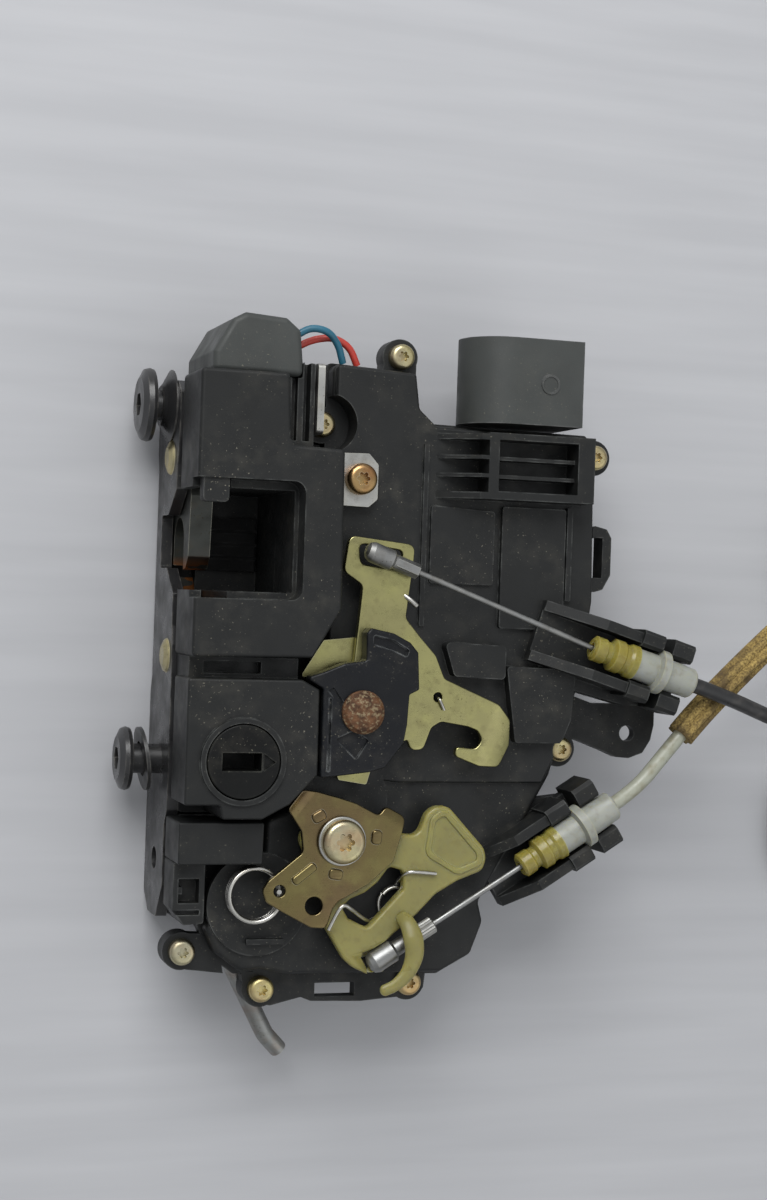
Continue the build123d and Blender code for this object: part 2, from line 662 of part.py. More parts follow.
# ------------------------------------------------------------------- levers
def release_lever():
    """The plated lever that the upper cable pulls."""
    plan = [
        (41.9, 2.9), (59.8, 1.1), (59.4, -4.4), (57.9, -18.0), (61.9, -22.6), (66.6, -27.6),
        (69.2, -33.6), (84.8, -40.1), (88.6, -44.3), (88.9, -51.0), (85.8, -56.8), (79.6, -56.4),
        (72.8, -53.8), (73.0, -51.4), (78.6, -51.9), (80.4, -49.4), (79.0, -47.0), (76.2, -46.0),
        (68.6, -44.8), (66.0, -46.4), (63.9, -52.2), (60.6, -52.4), (59.4, -49.6), (58.0, -50.4),
        (45.5, -53.0), (36.4, -46.0), (36.4, -38.0), (44.2, -30.0), (45.9, -9.8), (40.6, -6.4),
    ]
    z0, z1 = RELEASE_Z
    lever = slab(plan, z0, z1, corner=0.7)
    lever -= slab([(44.4, 0.9), (56.6, -0.5), (56.0, -5.8), (45.2, -4.4)], z0 - 1, z1 + 1, corner=0.9)
    lever -= disc(RIVET[0], RIVET[1], RIVET_SHAFT_R + RUNNING_FIT, z0 - 1, z1 + 1)
    lever -= disc(67.5, -38.4, 1.2, z0 - 1, z1 + 1)
    flange = slab([(87.1, -43.6), (88.5, -44.3), (88.8, -51.0), (87.2, -50.8)], 38.4, z0 + 0.5)
    catch = Pos(58.9, -13.2, z0 + 1) * Rot(0, 90, -25) * Cylinder(0.7, 4.0)
    return lever + flange + catch


def pivot_cover():
    """The over-moulded cover plate that the rivet holds over the release lever."""
    plan = [
        (30.4, -33.9), (35.1, -32.3), (40.3, -30.1), (46.2, -29.2), (46.1, -22.1), (47.2, -20.8),
        (53.4, -22.0), (58.0, -24.3), (60.2, -26.8), (60.8, -36.4), (58.2, -37.7), (57.8, -45.5),
        (57.0, -50.2), (52.2, -56.6), (48.0, -57.8), (35.0, -59.4), (35.0, -36.6),
    ]
    z0, z1 = COVER_PLATE_Z
    plate = soften(slab(plan, z0, z1, corner=0.7), 0.6)
    plate -= slab([
        (47.9, -22.6), (53.4, -23.8), (57.6, -26.2), (57.0, -28.0), (52.8, -26.2), (47.9, -25.0),
    ], z1 - 0.9, z1 + 1, corner=0.5)
    plate -= slab([(38.6, -49.4), (43.6, -47.0), (47.4, -49.6), (44.2, -54.6)], z1 - 0.7, z1 + 1, corner=0.4)
    plate -= slab([(36.2, -37.0), (37.6, -36.2), (40.6, -40.2), (39.6, -41.0)], z1 - 0.6, z1 + 1)
    plate -= box(36.6, 37.2, -57.6, -39.0, z1 - 0.6, z1 + 1)
    plate -= disc(RIVET[0], RIVET[1], RIVET_SHAFT_R, z0 - 1, z1 + 1)
    return plate


def cover_core():
    """The plated steel core that shows beside the over-moulded plate."""
    z0, z1 = 38.6, 40.6
    plate = slab([
        (30.6, -34.0), (36.6, -24.4), (47.0, -23.2), (48.2, -29.6), (38.6, -33.6),
    ], z0, z1, corner=0.6)
    plate += slab([(38.6, -50), (41.8, -60.4), (49.4, -61.6), (52.6, -50)], z0, z1, corner=0.6)
    return plate - disc(RIVET[0], RIVET[1], 10.6, z0 - 1, z1 + 1)


def lock_plate():
    """The plated lever on top of the nylon one."""
    plan = [
        (35.4, -63.2), (41.1, -64.7), (46.0, -66.2), (52.3, -69.4), (54.2, -66.9), (59.7, -69.8),
        (58.8, -73.4), (56.6, -81.2), (50.0, -87.1), (42.1, -91.4), (40.6, -93.2), (39.1, -98.4),
        (34.9, -98.1), (27.0, -93.9), (22.8, -91.4), (21.8, -88.5), (23.3, -86.0), (32.3, -78.7),
        (31.6, -73.3), (28.9, -69.4),
    ]
    z0, z1 = LOCK_PLATE_Z
    plate = slab(plan, z0, z1, corner=0.8)
    plate -= disc(LOCK_PIVOT[0], LOCK_PIVOT[1], LOCK_PIN_R + RUNNING_FIT, z0 - 1, z1 + 1)
    plate -= disc(26.3, -88.6, 1.5, z0 - 1, z1 + 1)
    plate -= disc(35.5, -92.5, 2.3, z0 - 1, z1 + 1)
    lip = slab([(27.4, -67.6), (31.2, -62.6), (34.6, -64.0), (30.6, -69.2)], z1 - 1.2, z1 + 1.6, corner=0.5)
    plate += lip
    for x, y, turn in ((36.0, -69.5, 30), (51.7, -74.9, 85), (41.0, -84.4, -10)):
        plate += Pos(x, y, z1 + 0.2) * Rot(0, 0, turn) * Box(3.4, 2.6, 0.8)
    plate += Pos(32.6, -84.2, z1 + 0.3) * Rot(0, 0, 38) * Box(7.2, 2.2, 1.0)
    return plate


def nylon_lever():
    """The moulded lever that carries the lower cable's nipple."""
    z0, z1 = NYLON_Z
    frame = slab([
        (56.0, -73.6), (64.1, -75.2), (66.3, -69.0), (68.8, -67.2), (72.4, -67.2), (82.9, -78.3),
        (83.6, -81.2), (82.6, -84.3), (75.6, -86.9), (69.6, -90.4), (64.6, -95.6), (56.4, -102.2),
        (57.6, -110.2), (52.0, -111.2), (47.6, -109.2), (45.0, -107.0), (39.0, -97.4), (40.6, -90.0),
    ], z0, z1, corner=1.0)
    hub = disc(LOCK_PIVOT[0], LOCK_PIVOT[1], 10.4, z0, z1)
    sector = disc(LOCK_PIVOT[0], LOCK_PIVOT[1], 16.0, z0, z1) & box(40, 60, -95, -74, z0, z1)
    window = slab([
        (57.5, -83.0), (60.6, -84.2), (60.6, -89.0), (51.2, -99.0), (45.8, -96.4), (44.6, -94.4),
        (53.4, -89.2),
    ], z0 - 1, z1 + 1, corner=0.9)
    lever = frame - window + hub + sector
    rim = slab([
        (67.2, -70.2), (70.0, -68.2), (71.8, -68.2), (82.2, -79.2), (82.4, -82.6), (75.4, -85.4),
        (66.0, -80.0),
    ], z1 - 0.2, z1 + 0.6, corner=0.8)
    rim -= slab([
        (68.0, -71.0), (70.4, -69.6), (71.2, -69.6), (80.8, -79.6), (81.0, -81.8), (75.2, -84.0),
        (67.2, -79.4),
    ], z1 - 1, z1 + 2, corner=0.6)
    lever += rim
    finger = slab([
        (58.6, -95.6), (63.4, -96.2), (65.8, -101.6), (64.8, -108.2), (62.2, -112.3), (56.4, -116.2),
        (53.5, -114.6), (54.3, -112.6), (58.6, -111.5), (60.2, -107.3), (59.0, -102.6), (56.6, -99.4),
    ], 44.2, 46.4, corner=0.7)
    finger += slab([
        (58.2, -97.8), (60.4, -95.8), (63.4, -96.4), (62.4, -98.2), (59.6, -99.6),
    ], z1 - 0.5, 44.6, corner=0.4)
    lever += finger
    lever -= disc(LOCK_PIVOT[0], LOCK_PIVOT[1], LOCK_PIN_R + RUNNING_FIT, z0 - 1, z1 + 1)
    for swing in (0, -7, -14):
        lever -= rod(along(NIPPLE_2, WIRE_2_ANGLE + swing, -3.6), WIRE_2_ANGLE + swing, CABLE_2_Z, 3.4, 26)
    return lever


def nipple(start, angle, height, head_r, wire_long):
    """A cable's end: a barrel, a crimped sleeve and the bare wire, in one piece."""
    profile = [
        (-2.8, 0.4 * head_r), (-2.2, 0.8 * head_r), (-1.0, head_r), (4.6, head_r), (5.4, 0.72 * head_r),
        (12.4, 0.66 * head_r), (12.4, WIRE_R), (wire_long, WIRE_R),
    ]
    return on_cable(start, angle, height) * turned(profile)


def boot(start, angle, height):
    """The rubber boot over the ferrule's nose, hollow for the wire."""
    profile = [
        (0, 2.6), (0.6, 3.4), (3.4, 3.4), (4.0, 3.0), (5.2, 3.0), (6.0, 4.4), (8.4, 4.5), (9.0, 4.1),
        (10.2, 4.1), (11.0, 4.6), (12.8, 4.7),
    ]
    body = turned(profile)
    body -= turned([(-1, 1.35), (1.4, 1.35), (1.41, 2.3), (14, 2.3)])
    return on_cable(start, angle, height) * body


def ferrule(start, angle, height):
    """The moulded end fitting of a sheath, with the collar that the jaws hold."""
    profile = [
        (12.8, 4.2), (18.9, 4.3), (19.4, 6.0), (21.6, 6.0), (22.0, 4.3), (30.4, 4.1),
        (FERRULE_LONG, 3.6),
    ]
    body = turned(profile)
    body -= turned([(12, 2.2), (24, 2.2)])
    return on_cable(start, angle, height) * body


def coil_spring(x, y, radius, wire, turns, z0):
    """A torsion spring's coil."""
    pitch = wire * 1.12
    path = Pos(x, y, z0) * Helix(pitch=pitch, height=pitch * turns, radius=radius)
    start = Plane(origin=path @ 0, z_dir=path % 0)
    return sweep(start * Circle(wire / 2), path=path, is_frenet=True)


def lever_spring():
    """The spring between the lock plate and the housing."""
    return coil_spring(21.0, -90.2, 6.8, 1.2, 3, 36.2)


def link_spring():
    """The spring between the nylon lever and the lock plate."""
    return coil_spring(60.0, -93.4, 4.4, 1.0, 1.4, 34.8)


# --------------------------------------------------------------- crank rod
def crank_rod():
    """The bent rod that turns in the module's lower edge."""
    inside = along(CRANK, CRANK_ANGLE, -16)
    bend = along(CRANK, CRANK_ANGLE, 16.5)
    tip = along(bend, CRANK_ANGLE + 16, 6.2)
    points = [(*inside, CRANK_Z), (*bend, CRANK_Z), (*tip, CRANK_Z - 1.5)]
    path = FilletPolyline(*points, radius=6.0)
    return swept(path, 2 * CRANK_R)


def crank_bore():
    """The bearing that the crank rod turns in."""
    return rod(along(CRANK, CRANK_ANGLE, -16.3), CRANK_ANGLE, CRANK_Z, CRANK_R + RUNNING_FIT, 40)


# ---------------------------------------------------------------- free cords
def far_end(centre, degrees_round, clockwise):
    """Where a coil's tail leaves it, its direction, and where the end fitting starts."""
    turn = radians(degrees_round)
    start = (centre[0] + COIL_R * cos(turn), centre[1] + COIL_R * sin(turn))
    angle = degrees_round - 90 if clockwise else degrees_round + 90
    return start, angle, along(start, angle, TAIL_LONG)


def ring_coil(centre, sheath_d, end_turn, clockwise):
    """The outer shape of a cable's coil on the ground, with its short tail."""
    thick = COIL_THICK * sheath_d / 2
    ring = Pos(centre[0], centre[1], thick) * Torus(COIL_R, thick)
    start, _, stop = far_end(centre, end_turn, clockwise)
    tail = Line((*start, thick), (*stop, END_Z))
    return ring + swept(tail, sheath_d)


def end_fitting(centre, sheath_d, end_turn, clockwise):
    """The ferrule, wire and nipple at a cable's far end."""
    profile = [
        (0, 3.6), (0.6, 4.1), (8.6, 4.3), (9.0, 6.0), (11.2, 6.0), (11.6, 4.3), (18, 4.2), (18.4, 3.4),
        (24, 3.2), (24.6, 0.8), (34, 0.8), (34.4, 2.6), (40, 2.6), (40.6, 1.8),
    ]
    _, angle, stop = far_end(centre, end_turn, clockwise)
    socket = sheath_d / 2 + 0.4
    body = turned(profile) - turned([(-1, socket), (2.5, socket)])
    return on_cable(along(stop, angle, -2.0), angle, END_Z) * body


# -------------------------------------------------------------------- export
def sleeve_line(radii):
    """The part of the second sheath's path that its foam sleeve covers."""
    first, last = SLEEVE_SPAN
    start = (Vector(*ROUTE_2[first]) + Vector(*ROUTE_2[first + 1])) / 2
    stop = (Vector(*ROUTE_2[last - 1]) + Vector(*ROUTE_2[last])) / 2
    return FilletPolyline(start, *ROUTE_2[first + 1 : last], stop, radius=radii[first : last - 1])


def wires():
    """The two leads between the switch and the module, blue and red."""
    blue = lead([
        (28.2, 54.4, 34), (31.8, 56.6, 35), (36.4, 56.0, 35.4), (39.8, 52.8, 33.6), (41.6, 48.3, 32),
    ])
    red = lead([
        (28.6, 51.4, 30.4), (33.4, 54.0, 31.0), (39.0, 55.0, 31.4), (43.6, 52.8, 31.2),
        (46.0, 48.1, 30.4),
    ])
    return blue, red


def all_pieces():
    """Every piece of the latch by name."""
    blue, red = wires()
    front = front_housing()
    path_1, radii_1 = tube_path(ROUTE_1)
    path_2, radii_2 = tube_path(ROUTE_2)
    print("sheath 1 radii", [round(r, 1) for r in radii_1])
    print("sheath 2 radii", [round(r, 1) for r in radii_2])
    return {
        "face_plate": face_plate(),
        "latch_cover": latch_cover(),
        "latch_base": latch_base(),
        "bumper": bumper(),
        "latch_pins": [latch_pin(*CLAW_PIVOT), latch_pin(*PAWL_PIVOT)],
        "claw": claw(),
        "pawl": pawl(),
        "end_cap": end_cap(),
        "side_bar": side_bar(),
        "wire_blue": blue,
        "wire_red": red,
        "upper_bolt": bolt(UPPER_BOLT_Y, -5.3, 9.7, 3.4),
        "upper_washer": upper_washer(),
        "lower_bolt": bolt(LOWER_BOLT_Y, -8.2, 8.4, 3.2),
        "lower_washer": lower_washer(),
        "key_housing": key_housing(),
        "key_rotor": key_rotor(),
        "corner_block": corner_block(),
        "rear_housing": rear_housing(),
        "front_housing": front,
        "cable_bracket_1": bracket_1() - front,
        "cable_bracket_2": bracket_2() - front,
        "side_loop": side_loop(),
        "connector_shroud": connector_shroud(),
        "connector_pins": connector_pins(),
        "housing_screws": housing_screws(),
        "tab_plate": tab_plate(),
        "tab_screw": pan_screw(*TAB_SCREW, 39.8, 4.1, 3.6, 2.2, 12),
        "rivet": rivet(),
        "pivot_screw": pivot_screw(),
        "release_lever": release_lever(),
        "pivot_cover": pivot_cover(),
        "cover_core": cover_core(),
        "lock_plate": lock_plate(),
        "nylon_lever": nylon_lever(),
        "cable_1_pull": nipple(NIPPLE_1, WIRE_1_ANGLE, CABLE_1_Z, 2.7, 71.5),
        "cable_2_pull": nipple(NIPPLE_2, WIRE_2_ANGLE, CABLE_2_Z, 3.0, 51.5),
        "cable_1_boot": boot(CABLE_1, CABLE_1_ANGLE, CABLE_1_Z),
        "cable_2_boot": boot(CABLE_2, CABLE_2_ANGLE, CABLE_2_Z),
        "cable_1_ferrule": ferrule(CABLE_1, CABLE_1_ANGLE, CABLE_1_Z),
        "cable_2_ferrule": ferrule(CABLE_2, CABLE_2_ANGLE, CABLE_2_Z),
        "lever_spring": lever_spring(),
        "link_spring": link_spring(),
        "crank_rod": crank_rod(),
        "cord_1_sheath": swept(path_1, SHEATH_1_D),
        "cord_1_coil": ring_coil(COIL_1, SHEATH_1_D, COIL_1_END, True),
        "cord_1_end": end_fitting(COIL_1, SHEATH_1_D, COIL_1_END, True),
        "cord_2_sheath": swept(path_2, SHEATH_2_D),
        "cord_2_sleeve": swept(sleeve_line(radii_2), SLEEVE_D, SHEATH_2_D + 0.1),
        "cord_2_coil": ring_coil(COIL_2, SHEATH_2_D, COIL_2_END, False),
        "cord_2_end": end_fitting(COIL_2, SHEATH_2_D, COIL_2_END, False),
    }


def write(name, piece):
    """Moves a piece to the shared origin and writes it."""
    solids = piece if isinstance(piece, list) else [piece]
    moved = [Pos(-CENTRE_X, -CENTRE_Y, 0) * solid for solid in solids]
    export_step(Compound(children=moved) if len(moved) > 1 else moved[0], f"parts/{name}.step")


def main():
    os.makedirs("parts", exist_ok=True)
    for name, piece in all_pieces().items():
        write(name, piece)


main()
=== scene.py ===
"""Looks of a car door latch with its lock module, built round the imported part.

Places are given in the part's drawing axes in millimetres, and at() turns them
into metres in the row frame. Colours are red, green and blue shares of light.
"""

import json
from math import cos, degrees, pi, radians, sin, tan

import bmesh
import bpy
from mathutils import Matrix, Vector

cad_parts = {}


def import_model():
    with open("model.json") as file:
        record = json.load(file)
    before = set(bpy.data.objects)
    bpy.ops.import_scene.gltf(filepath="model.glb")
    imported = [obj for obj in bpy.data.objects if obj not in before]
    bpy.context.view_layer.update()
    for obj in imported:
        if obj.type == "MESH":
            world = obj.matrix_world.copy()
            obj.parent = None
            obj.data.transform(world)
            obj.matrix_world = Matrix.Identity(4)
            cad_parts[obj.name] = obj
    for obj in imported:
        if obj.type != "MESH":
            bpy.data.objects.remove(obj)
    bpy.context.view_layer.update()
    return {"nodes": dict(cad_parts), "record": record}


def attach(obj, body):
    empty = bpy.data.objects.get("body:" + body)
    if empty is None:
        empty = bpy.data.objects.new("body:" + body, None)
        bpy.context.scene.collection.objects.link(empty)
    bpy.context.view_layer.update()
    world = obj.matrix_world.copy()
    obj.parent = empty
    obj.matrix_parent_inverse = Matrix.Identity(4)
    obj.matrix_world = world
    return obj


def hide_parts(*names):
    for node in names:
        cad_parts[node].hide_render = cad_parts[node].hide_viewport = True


MM = 0.001
CENTRE_X = 64.4
CENTRE_Y = -39.3

# The photograph's camera: place, then its right, up and backward directions.
CAMERA_AT = (-108.5, -13.5, 535.7)
CAMERA_RIGHT = (0.9505, 0.0349, 0.3088)
CAMERA_UP = (-0.0332, 0.9994, -0.0108)
CAMERA_BACK = (-0.3090, 0.0, 0.9511)
LENS = 40.0
SENSOR_HIGH = 24.0
NEAREST_SEEN = 0.01

# The studio: each lamp's name, place in metres, size and power, then the sky and the floor.
LAMPS = [
    ("window", (-0.35, 0.95, 0.95), 0.9, 15.0),
    ("fill", (0.75, -0.55, 1.0), 1.2, 2.2),
]
SKY_COLOUR = (0.96, 0.98, 1.0, 1)
SKY_RISE = (-0.1, 1.0)  # heights of the sky between which it brightens
SKY_STRENGTH = (0.22, 0.6)
FLOOR_REACH = 14.0
FLOOR_Z = -0.0004

# Free cables, as in the part's source.
SHEATH_1_D = 4.2
SHEATH_2_D = 4.0
ROUTE_1 = [
    (139.26, -33.38, 45.6),
    (150.20, -36.77, 45.6),
    (164.0, -41.9, 43.9),
    (179.0, -46.8, 38.6),
    (193.6, -51.0, 28.8),
    (206.0, -54.2, 17.4),
    (217.0, -57.0, 9.0),
    (228.5, -60.1, 5.1),
]
ROUTE_2 = [
    (119.57, -66.75, 40.4),
    (126.30, -62.52, 40.4),
    (133.6, -54.2, 40.1),
    (144.6, -41.8, 39.3),
    (160.0, -27.6, 37.8),
    (174.6, -16.6, 33.6),
    (188.0, -8.6, 26.0),
    (200.0, -3.2, 16.6),
    (210.6, 0.4, 9.0),
    (221.0, 2.0, 5.0),
]
COIL_R = 23.0  # the middle of the turns
# Each coil: middle, start and sweep in degrees, radius of its bundle of strands, height.
COIL_1 = ((217.0, -80.0), 60.0, -1140.0, 2.97, 5.08)
COIL_2 = ((220.0, 25.0), -90.0, 990.0, 2.83, 4.84)
COIL_STEP = 15  # degrees between a coil's control points
COIL_TOP = 90.0  # where a strand starts round the bundle, in degrees
COIL_LAY = 4  # turns in which a strand goes once round the bundle
TAIL_LONG = 22.5
TAIL_STRAIGHT = 5.0
TAIL_ACROSS = 0.55  # how far towards the end fitting a tail's bend lies
TAIL_DOWN = 0.4
END_Z = 6.1
CURVE_STEPS = 8
CURVE_ROUNDNESS = 5

# The ribbed sleeve on cable 2, between the middles of two of its route's runs.
SLEEVE_D = 8.0
SLEEVE_RUNS = (3, 7)
SLEEVE_RIDGE = 1.1
SLEEVE_LOBES = 7
SIDES_PER_LOBE = 12

# Bent ends of the springs: name, body, wire diameter, then the wire's line.
SPRING_ENDS = [
    ("link_spring_hook", "lock_plate", 1.0, [
        (56.5, -96.3, 35.6), (53.0, -97.6, 36.2), (51.0, -97.2, 39.5), (45.2, -93.2, 44.4),
        (43.2, -92.0, 45.0), (41.6, -93.4, 45.0), (39.4, -98.6, 44.4),
    ]),
    ("link_spring_tail", "nylon_lever", 1.0, [
        (60.0, -88.0, 36.6), (60.1, -85.6, 39.6), (61.6, -84.2, 41.6), (65.4, -84.4, 41.6),
        (69.2, -84.8, 41.6),
    ]),
    ("release_spring_end", "release_lever", 0.8, [
        (67.5, -38.4, 40.6), (67.5, -38.5, 43.7), (68.3, -40.2, 43.9), (69.1, -41.7, 43.6),
    ]),
    ("lever_spring_end", "lock_plate", 1.2, [
        (26.3, -88.6, 41.0), (26.3, -88.6, 43.0), (26.0, -88.7, 44.4),
    ]),
]

# The levers' plates: the rounding of pressed edges, and how finely corners and bends are made.
PLATE_EDGE = 0.35
EDGE_STEPS = 3
BEND_STEPS = 10
CORNER_STEP = 8  # degrees between the points of a rounded corner
MOST_OF_SIDE = 0.46  # the most that a rounded corner takes of a side
WELD = 1e-6

# The release lever, on its outline in the part's source. A bend is its start, direction, reach
# and rise.
RELEASE_OUTLINE = [
    (41.9, 2.9), (59.8, 1.1), (59.4, -4.4), (57.9, -18.0), (61.9, -22.6), (66.6, -27.6), (69.2, -33.6),
    (84.8, -40.1), (88.6, -44.3), (88.9, -51.0), (85.8, -56.8), (79.6, -56.4), (72.8, -53.8), (73.0, -51.4),
    (78.6, -51.9), (80.4, -49.4), (79.0, -47.0), (76.2, -46.0), (68.6, -44.8), (66.0, -46.4), (63.9, -52.2),
    (60.6, -52.4), (59.4, -49.6), (58.0, -50.4), (45.5, -53.0), (36.4, -46.0), (36.4, -38.0), (44.2, -30.0),
    (45.9, -9.8), (40.6, -6.4),
]
RELEASE_CORNER = 2.2
RELEASE_SLOT = [(44.4, 0.9), (56.6, -0.5), (56.0, -5.8), (45.2, -4.4)]
RELEASE_SLOT_CORNER = 1.6
RELEASE_Z = (41.0, 43.0)
RELEASE_HOOK_BEND = ((81.2, -46.0), (0.96, -0.28), 8.8, -2.5)
RIVET = (45.5, -42.4)
RIVET_FIT_R = 4.05
SPRING_HOLE = (67.5, -38.4)
SPRING_HOLE_R = 1.2
PEG_LINE = [(57.2, -12.0, 42.2), (58.6, -12.9, 43.4), (60.6, -14.8, 43.5)]
PEG_D = 1.4

# The lock plate: its outline and lip in the part's source, its holes, bends and raised pads.
LOCK_OUTLINE = [
    (35.4, -63.2), (41.1, -64.7), (46.0, -66.2), (52.3, -69.4), (54.2, -66.9), (59.7, -69.8), (58.8, -73.4),
    (56.6, -81.2), (50.0, -87.1), (42.1, -91.4), (40.6, -93.2), (39.1, -98.4), (34.9, -98.1), (27.0, -93.9),
    (22.8, -91.4), (21.8, -88.5), (23.3, -86.0), (32.3, -78.7), (31.6, -73.3), (28.9, -69.4), (27.4, -67.6),
    (31.2, -62.6),
]
LOCK_CORNER = 2.0
LOCK_PLATE_Z = (41.9, 43.7)
LOCK_PIVOT = (42.2, -75.8)
PIVOT_FIT_R = 3.65
LOCK_HOLES = [((26.3, -88.6), 1.5, 24), ((35.5, -92.5), 2.3, 32)]
LOCK_BENDS = [((30.6, -69.2), (-0.79, 0.61), 3.5, 1.4), ((52.0, -70.0), (0.52, 0.85), 3.6, -0.7)]
# Pads: middle, length, width, turn in degrees.
LOCK_PADS = [
    ((36.0, -69.5), 3.8, 2.8, 30), ((51.7, -74.9), 3.8, 2.8, 85), ((41.0, -84.4), 3.8, 2.8, -10),
    ((32.6, -84.2), 7.4, 2.4, 38),
]
PAD_CORNER = 1.2
PAD_SUNK = 0.4
PAD_HIGH = 0.75
PAD_EDGE = 0.5
FLANGE_R = 6.4
FLANGE_HOLE_R = 4.0
FLANGE_RISE = (0.45, 1.4)  # the flange's faces, over the lock plate

# The nylon lever: its outline in the part's source, carried on round its hub, with its window
# and the rim of its paddle.
NYLON_OUTLINE = [
    (56.0, -73.6), (64.1, -75.2), (66.3, -69.0), (68.8, -67.2), (72.4, -67.2), (82.9, -78.3), (83.6, -81.2),
    (82.6, -84.3), (75.6, -86.9), (69.6, -90.4), (64.6, -95.6), (56.4, -102.2), (57.6, -110.2),
    (52.0, -111.2), (47.6, -109.2), (45.0, -107.0), (39.0, -97.4), (40.6, -90.0), (36.0, -84.0),
    (31.8, -76.0), (35.0, -68.4), (42.2, -65.4), (50.0, -68.0),
]
NYLON_CORNER = 4.0
NYLON_WINDOW = [
    (56.6, -83.0), (60.6, -84.2), (60.6, -89.0), (51.2, -99.0), (45.8, -96.4), (44.0, -93.4), (46.3, -91.3),
    (50.2, -89.7), (53.5, -87.1),
]
NYLON_WINDOW_CORNER = 1.6
NYLON_Z = (37.2, 40.8)
NYLON_EDGE = 0.9
RIM_OUTSIDE = [
    (67.2, -70.2), (70.0, -68.2), (71.8, -68.2), (82.2, -79.2), (82.4, -82.6), (75.4, -85.4), (66.0, -80.0),
]
RIM_INSIDE = [
    (68.6, -71.2), (70.5, -69.9), (71.3, -69.9), (80.5, -79.7), (80.6, -81.5), (75.2, -83.6), (67.8, -79.2),
]
RIM_CORNERS = (3.4, 2.4)
RIM_SUNK = 0.5
RIM_HIGH = 0.6
RIM_EDGE = 0.4
# The nylon lever's curved finger: places on its middle line, each with its half width.
FINGER = [
    ((60.2, -95.8, 40.6), 1.8), ((61.2, -97.6, 43.4), 2.2), ((62.2, -101.0, 45.1), 2.7),
    ((62.6, -105.4, 45.3), 2.5), ((60.9, -110.0, 45.3), 2.0), ((57.8, -113.0, 45.3), 1.6),
    ((54.9, -114.3, 45.3), 1.5),
]
FINGER_FLATNESS = 0.62
FINGER_STEPS = 8
FINGER_SIDES = 28
TIP_STEPS = 6
TIP_LONG = 0.9  # the tip's length as a share of its half width
TIP_R = 0.05  # the tip's half width at its very end

# The cables' ends: each nipple's place, then its wire's direction in degrees and height.
NIPPLE_1 = (48.2, -1.6)
NIPPLE_2 = (54.2, -107.4)
WIRE_1_ANGLE = -20.3
WIRE_2_ANGLE = 31.6
WIRE_1_Z = 45.6
WIRE_2_Z = 40.4
# Each crimp: name, body, its cable's end, its span along the wire, radius, sides, knurling.
CRIMPS = [
    ("crimp_1", "cable_1", (NIPPLE_1, WIRE_1_ANGLE, WIRE_1_Z), (5.8, 12.6), 2.05, 6, 0.0),
    ("crimp_2", "cable_2", (NIPPLE_2, WIRE_2_ANGLE, WIRE_2_Z), (9.6, 17.6), 2.3, 36, 0.09),
]
CRIMP_MOUTH = 0.82  # a crimp's radius at its very ends, as a share
CRIMP_PLACES = (0, 0.04, 0.96, 1)

# The channel in the nylon lever in which cable 2's end lies, cut once for each swing.
CHANNEL_R = 3.4
CHANNEL_LONG = 26.0
CHANNEL_BEHIND = 3.6
CHANNEL_SIDES = 40
CHANNEL_SWINGS = (0, -7, -14)

# Colours of dirt, wear and rust, and of painted highlights along edges.
DUST_FILM = (0.13, 0.12, 0.095)
DUST_GRAINS = (0.25, 0.235, 0.18)
PIT_BROWN = (0.05, 0.035, 0.015)
PLATING_DIRT = (0.11, 0.085, 0.05)
PAINTED_EDGE_HIGHLIGHT = (0.72, 0.7, 0.58)
RUST = (0.25, 0.095, 0.03)
RIVET_RUST = (0.155, 0.068, 0.026)
RIVET_DARK = (0.05, 0.024, 0.012)
RIVET_PALE = (0.29, 0.225, 0.13)
NYLON_GRIME = (0.13, 0.09, 0.035)
PAINTED_RIM_HIGHLIGHT = (0.52, 0.49, 0.25)
FOAM_DARK = (0.12, 0.075, 0.02)
FOAM_PALE = (0.50, 0.36, 0.12)
FOAM_SOILED = (0.09, 0.06, 0.03)
FLOOR_DARK = (0.45, 0.455, 0.475)
FLOOR_PALE = (0.5, 0.505, 0.525)
MOTTLE = 0.62  # the darker part of a moulding's own colour, as a share
CLAW_RUST_Y = -5.2  # the claw's tip is rusty below this
RUST_BLUR = 0.0016

# Blender's numbers for the mix node's colour sockets.
MIX_FIRST = 6
MIX_SECOND = 7
MIX_RESULT = 2


def at(x, y, z):
    """A place in the drawing axes, in metres in the row frame."""
    return Vector(((x - CENTRE_X) * MM, (y - CENTRE_Y) * MM, z * MM))


def placed(name, data):
    """A new object in the scene that holds a mesh, curve, light or camera."""
    made = bpy.data.objects.new(name, data)
    bpy.context.scene.collection.objects.link(made)
    return made


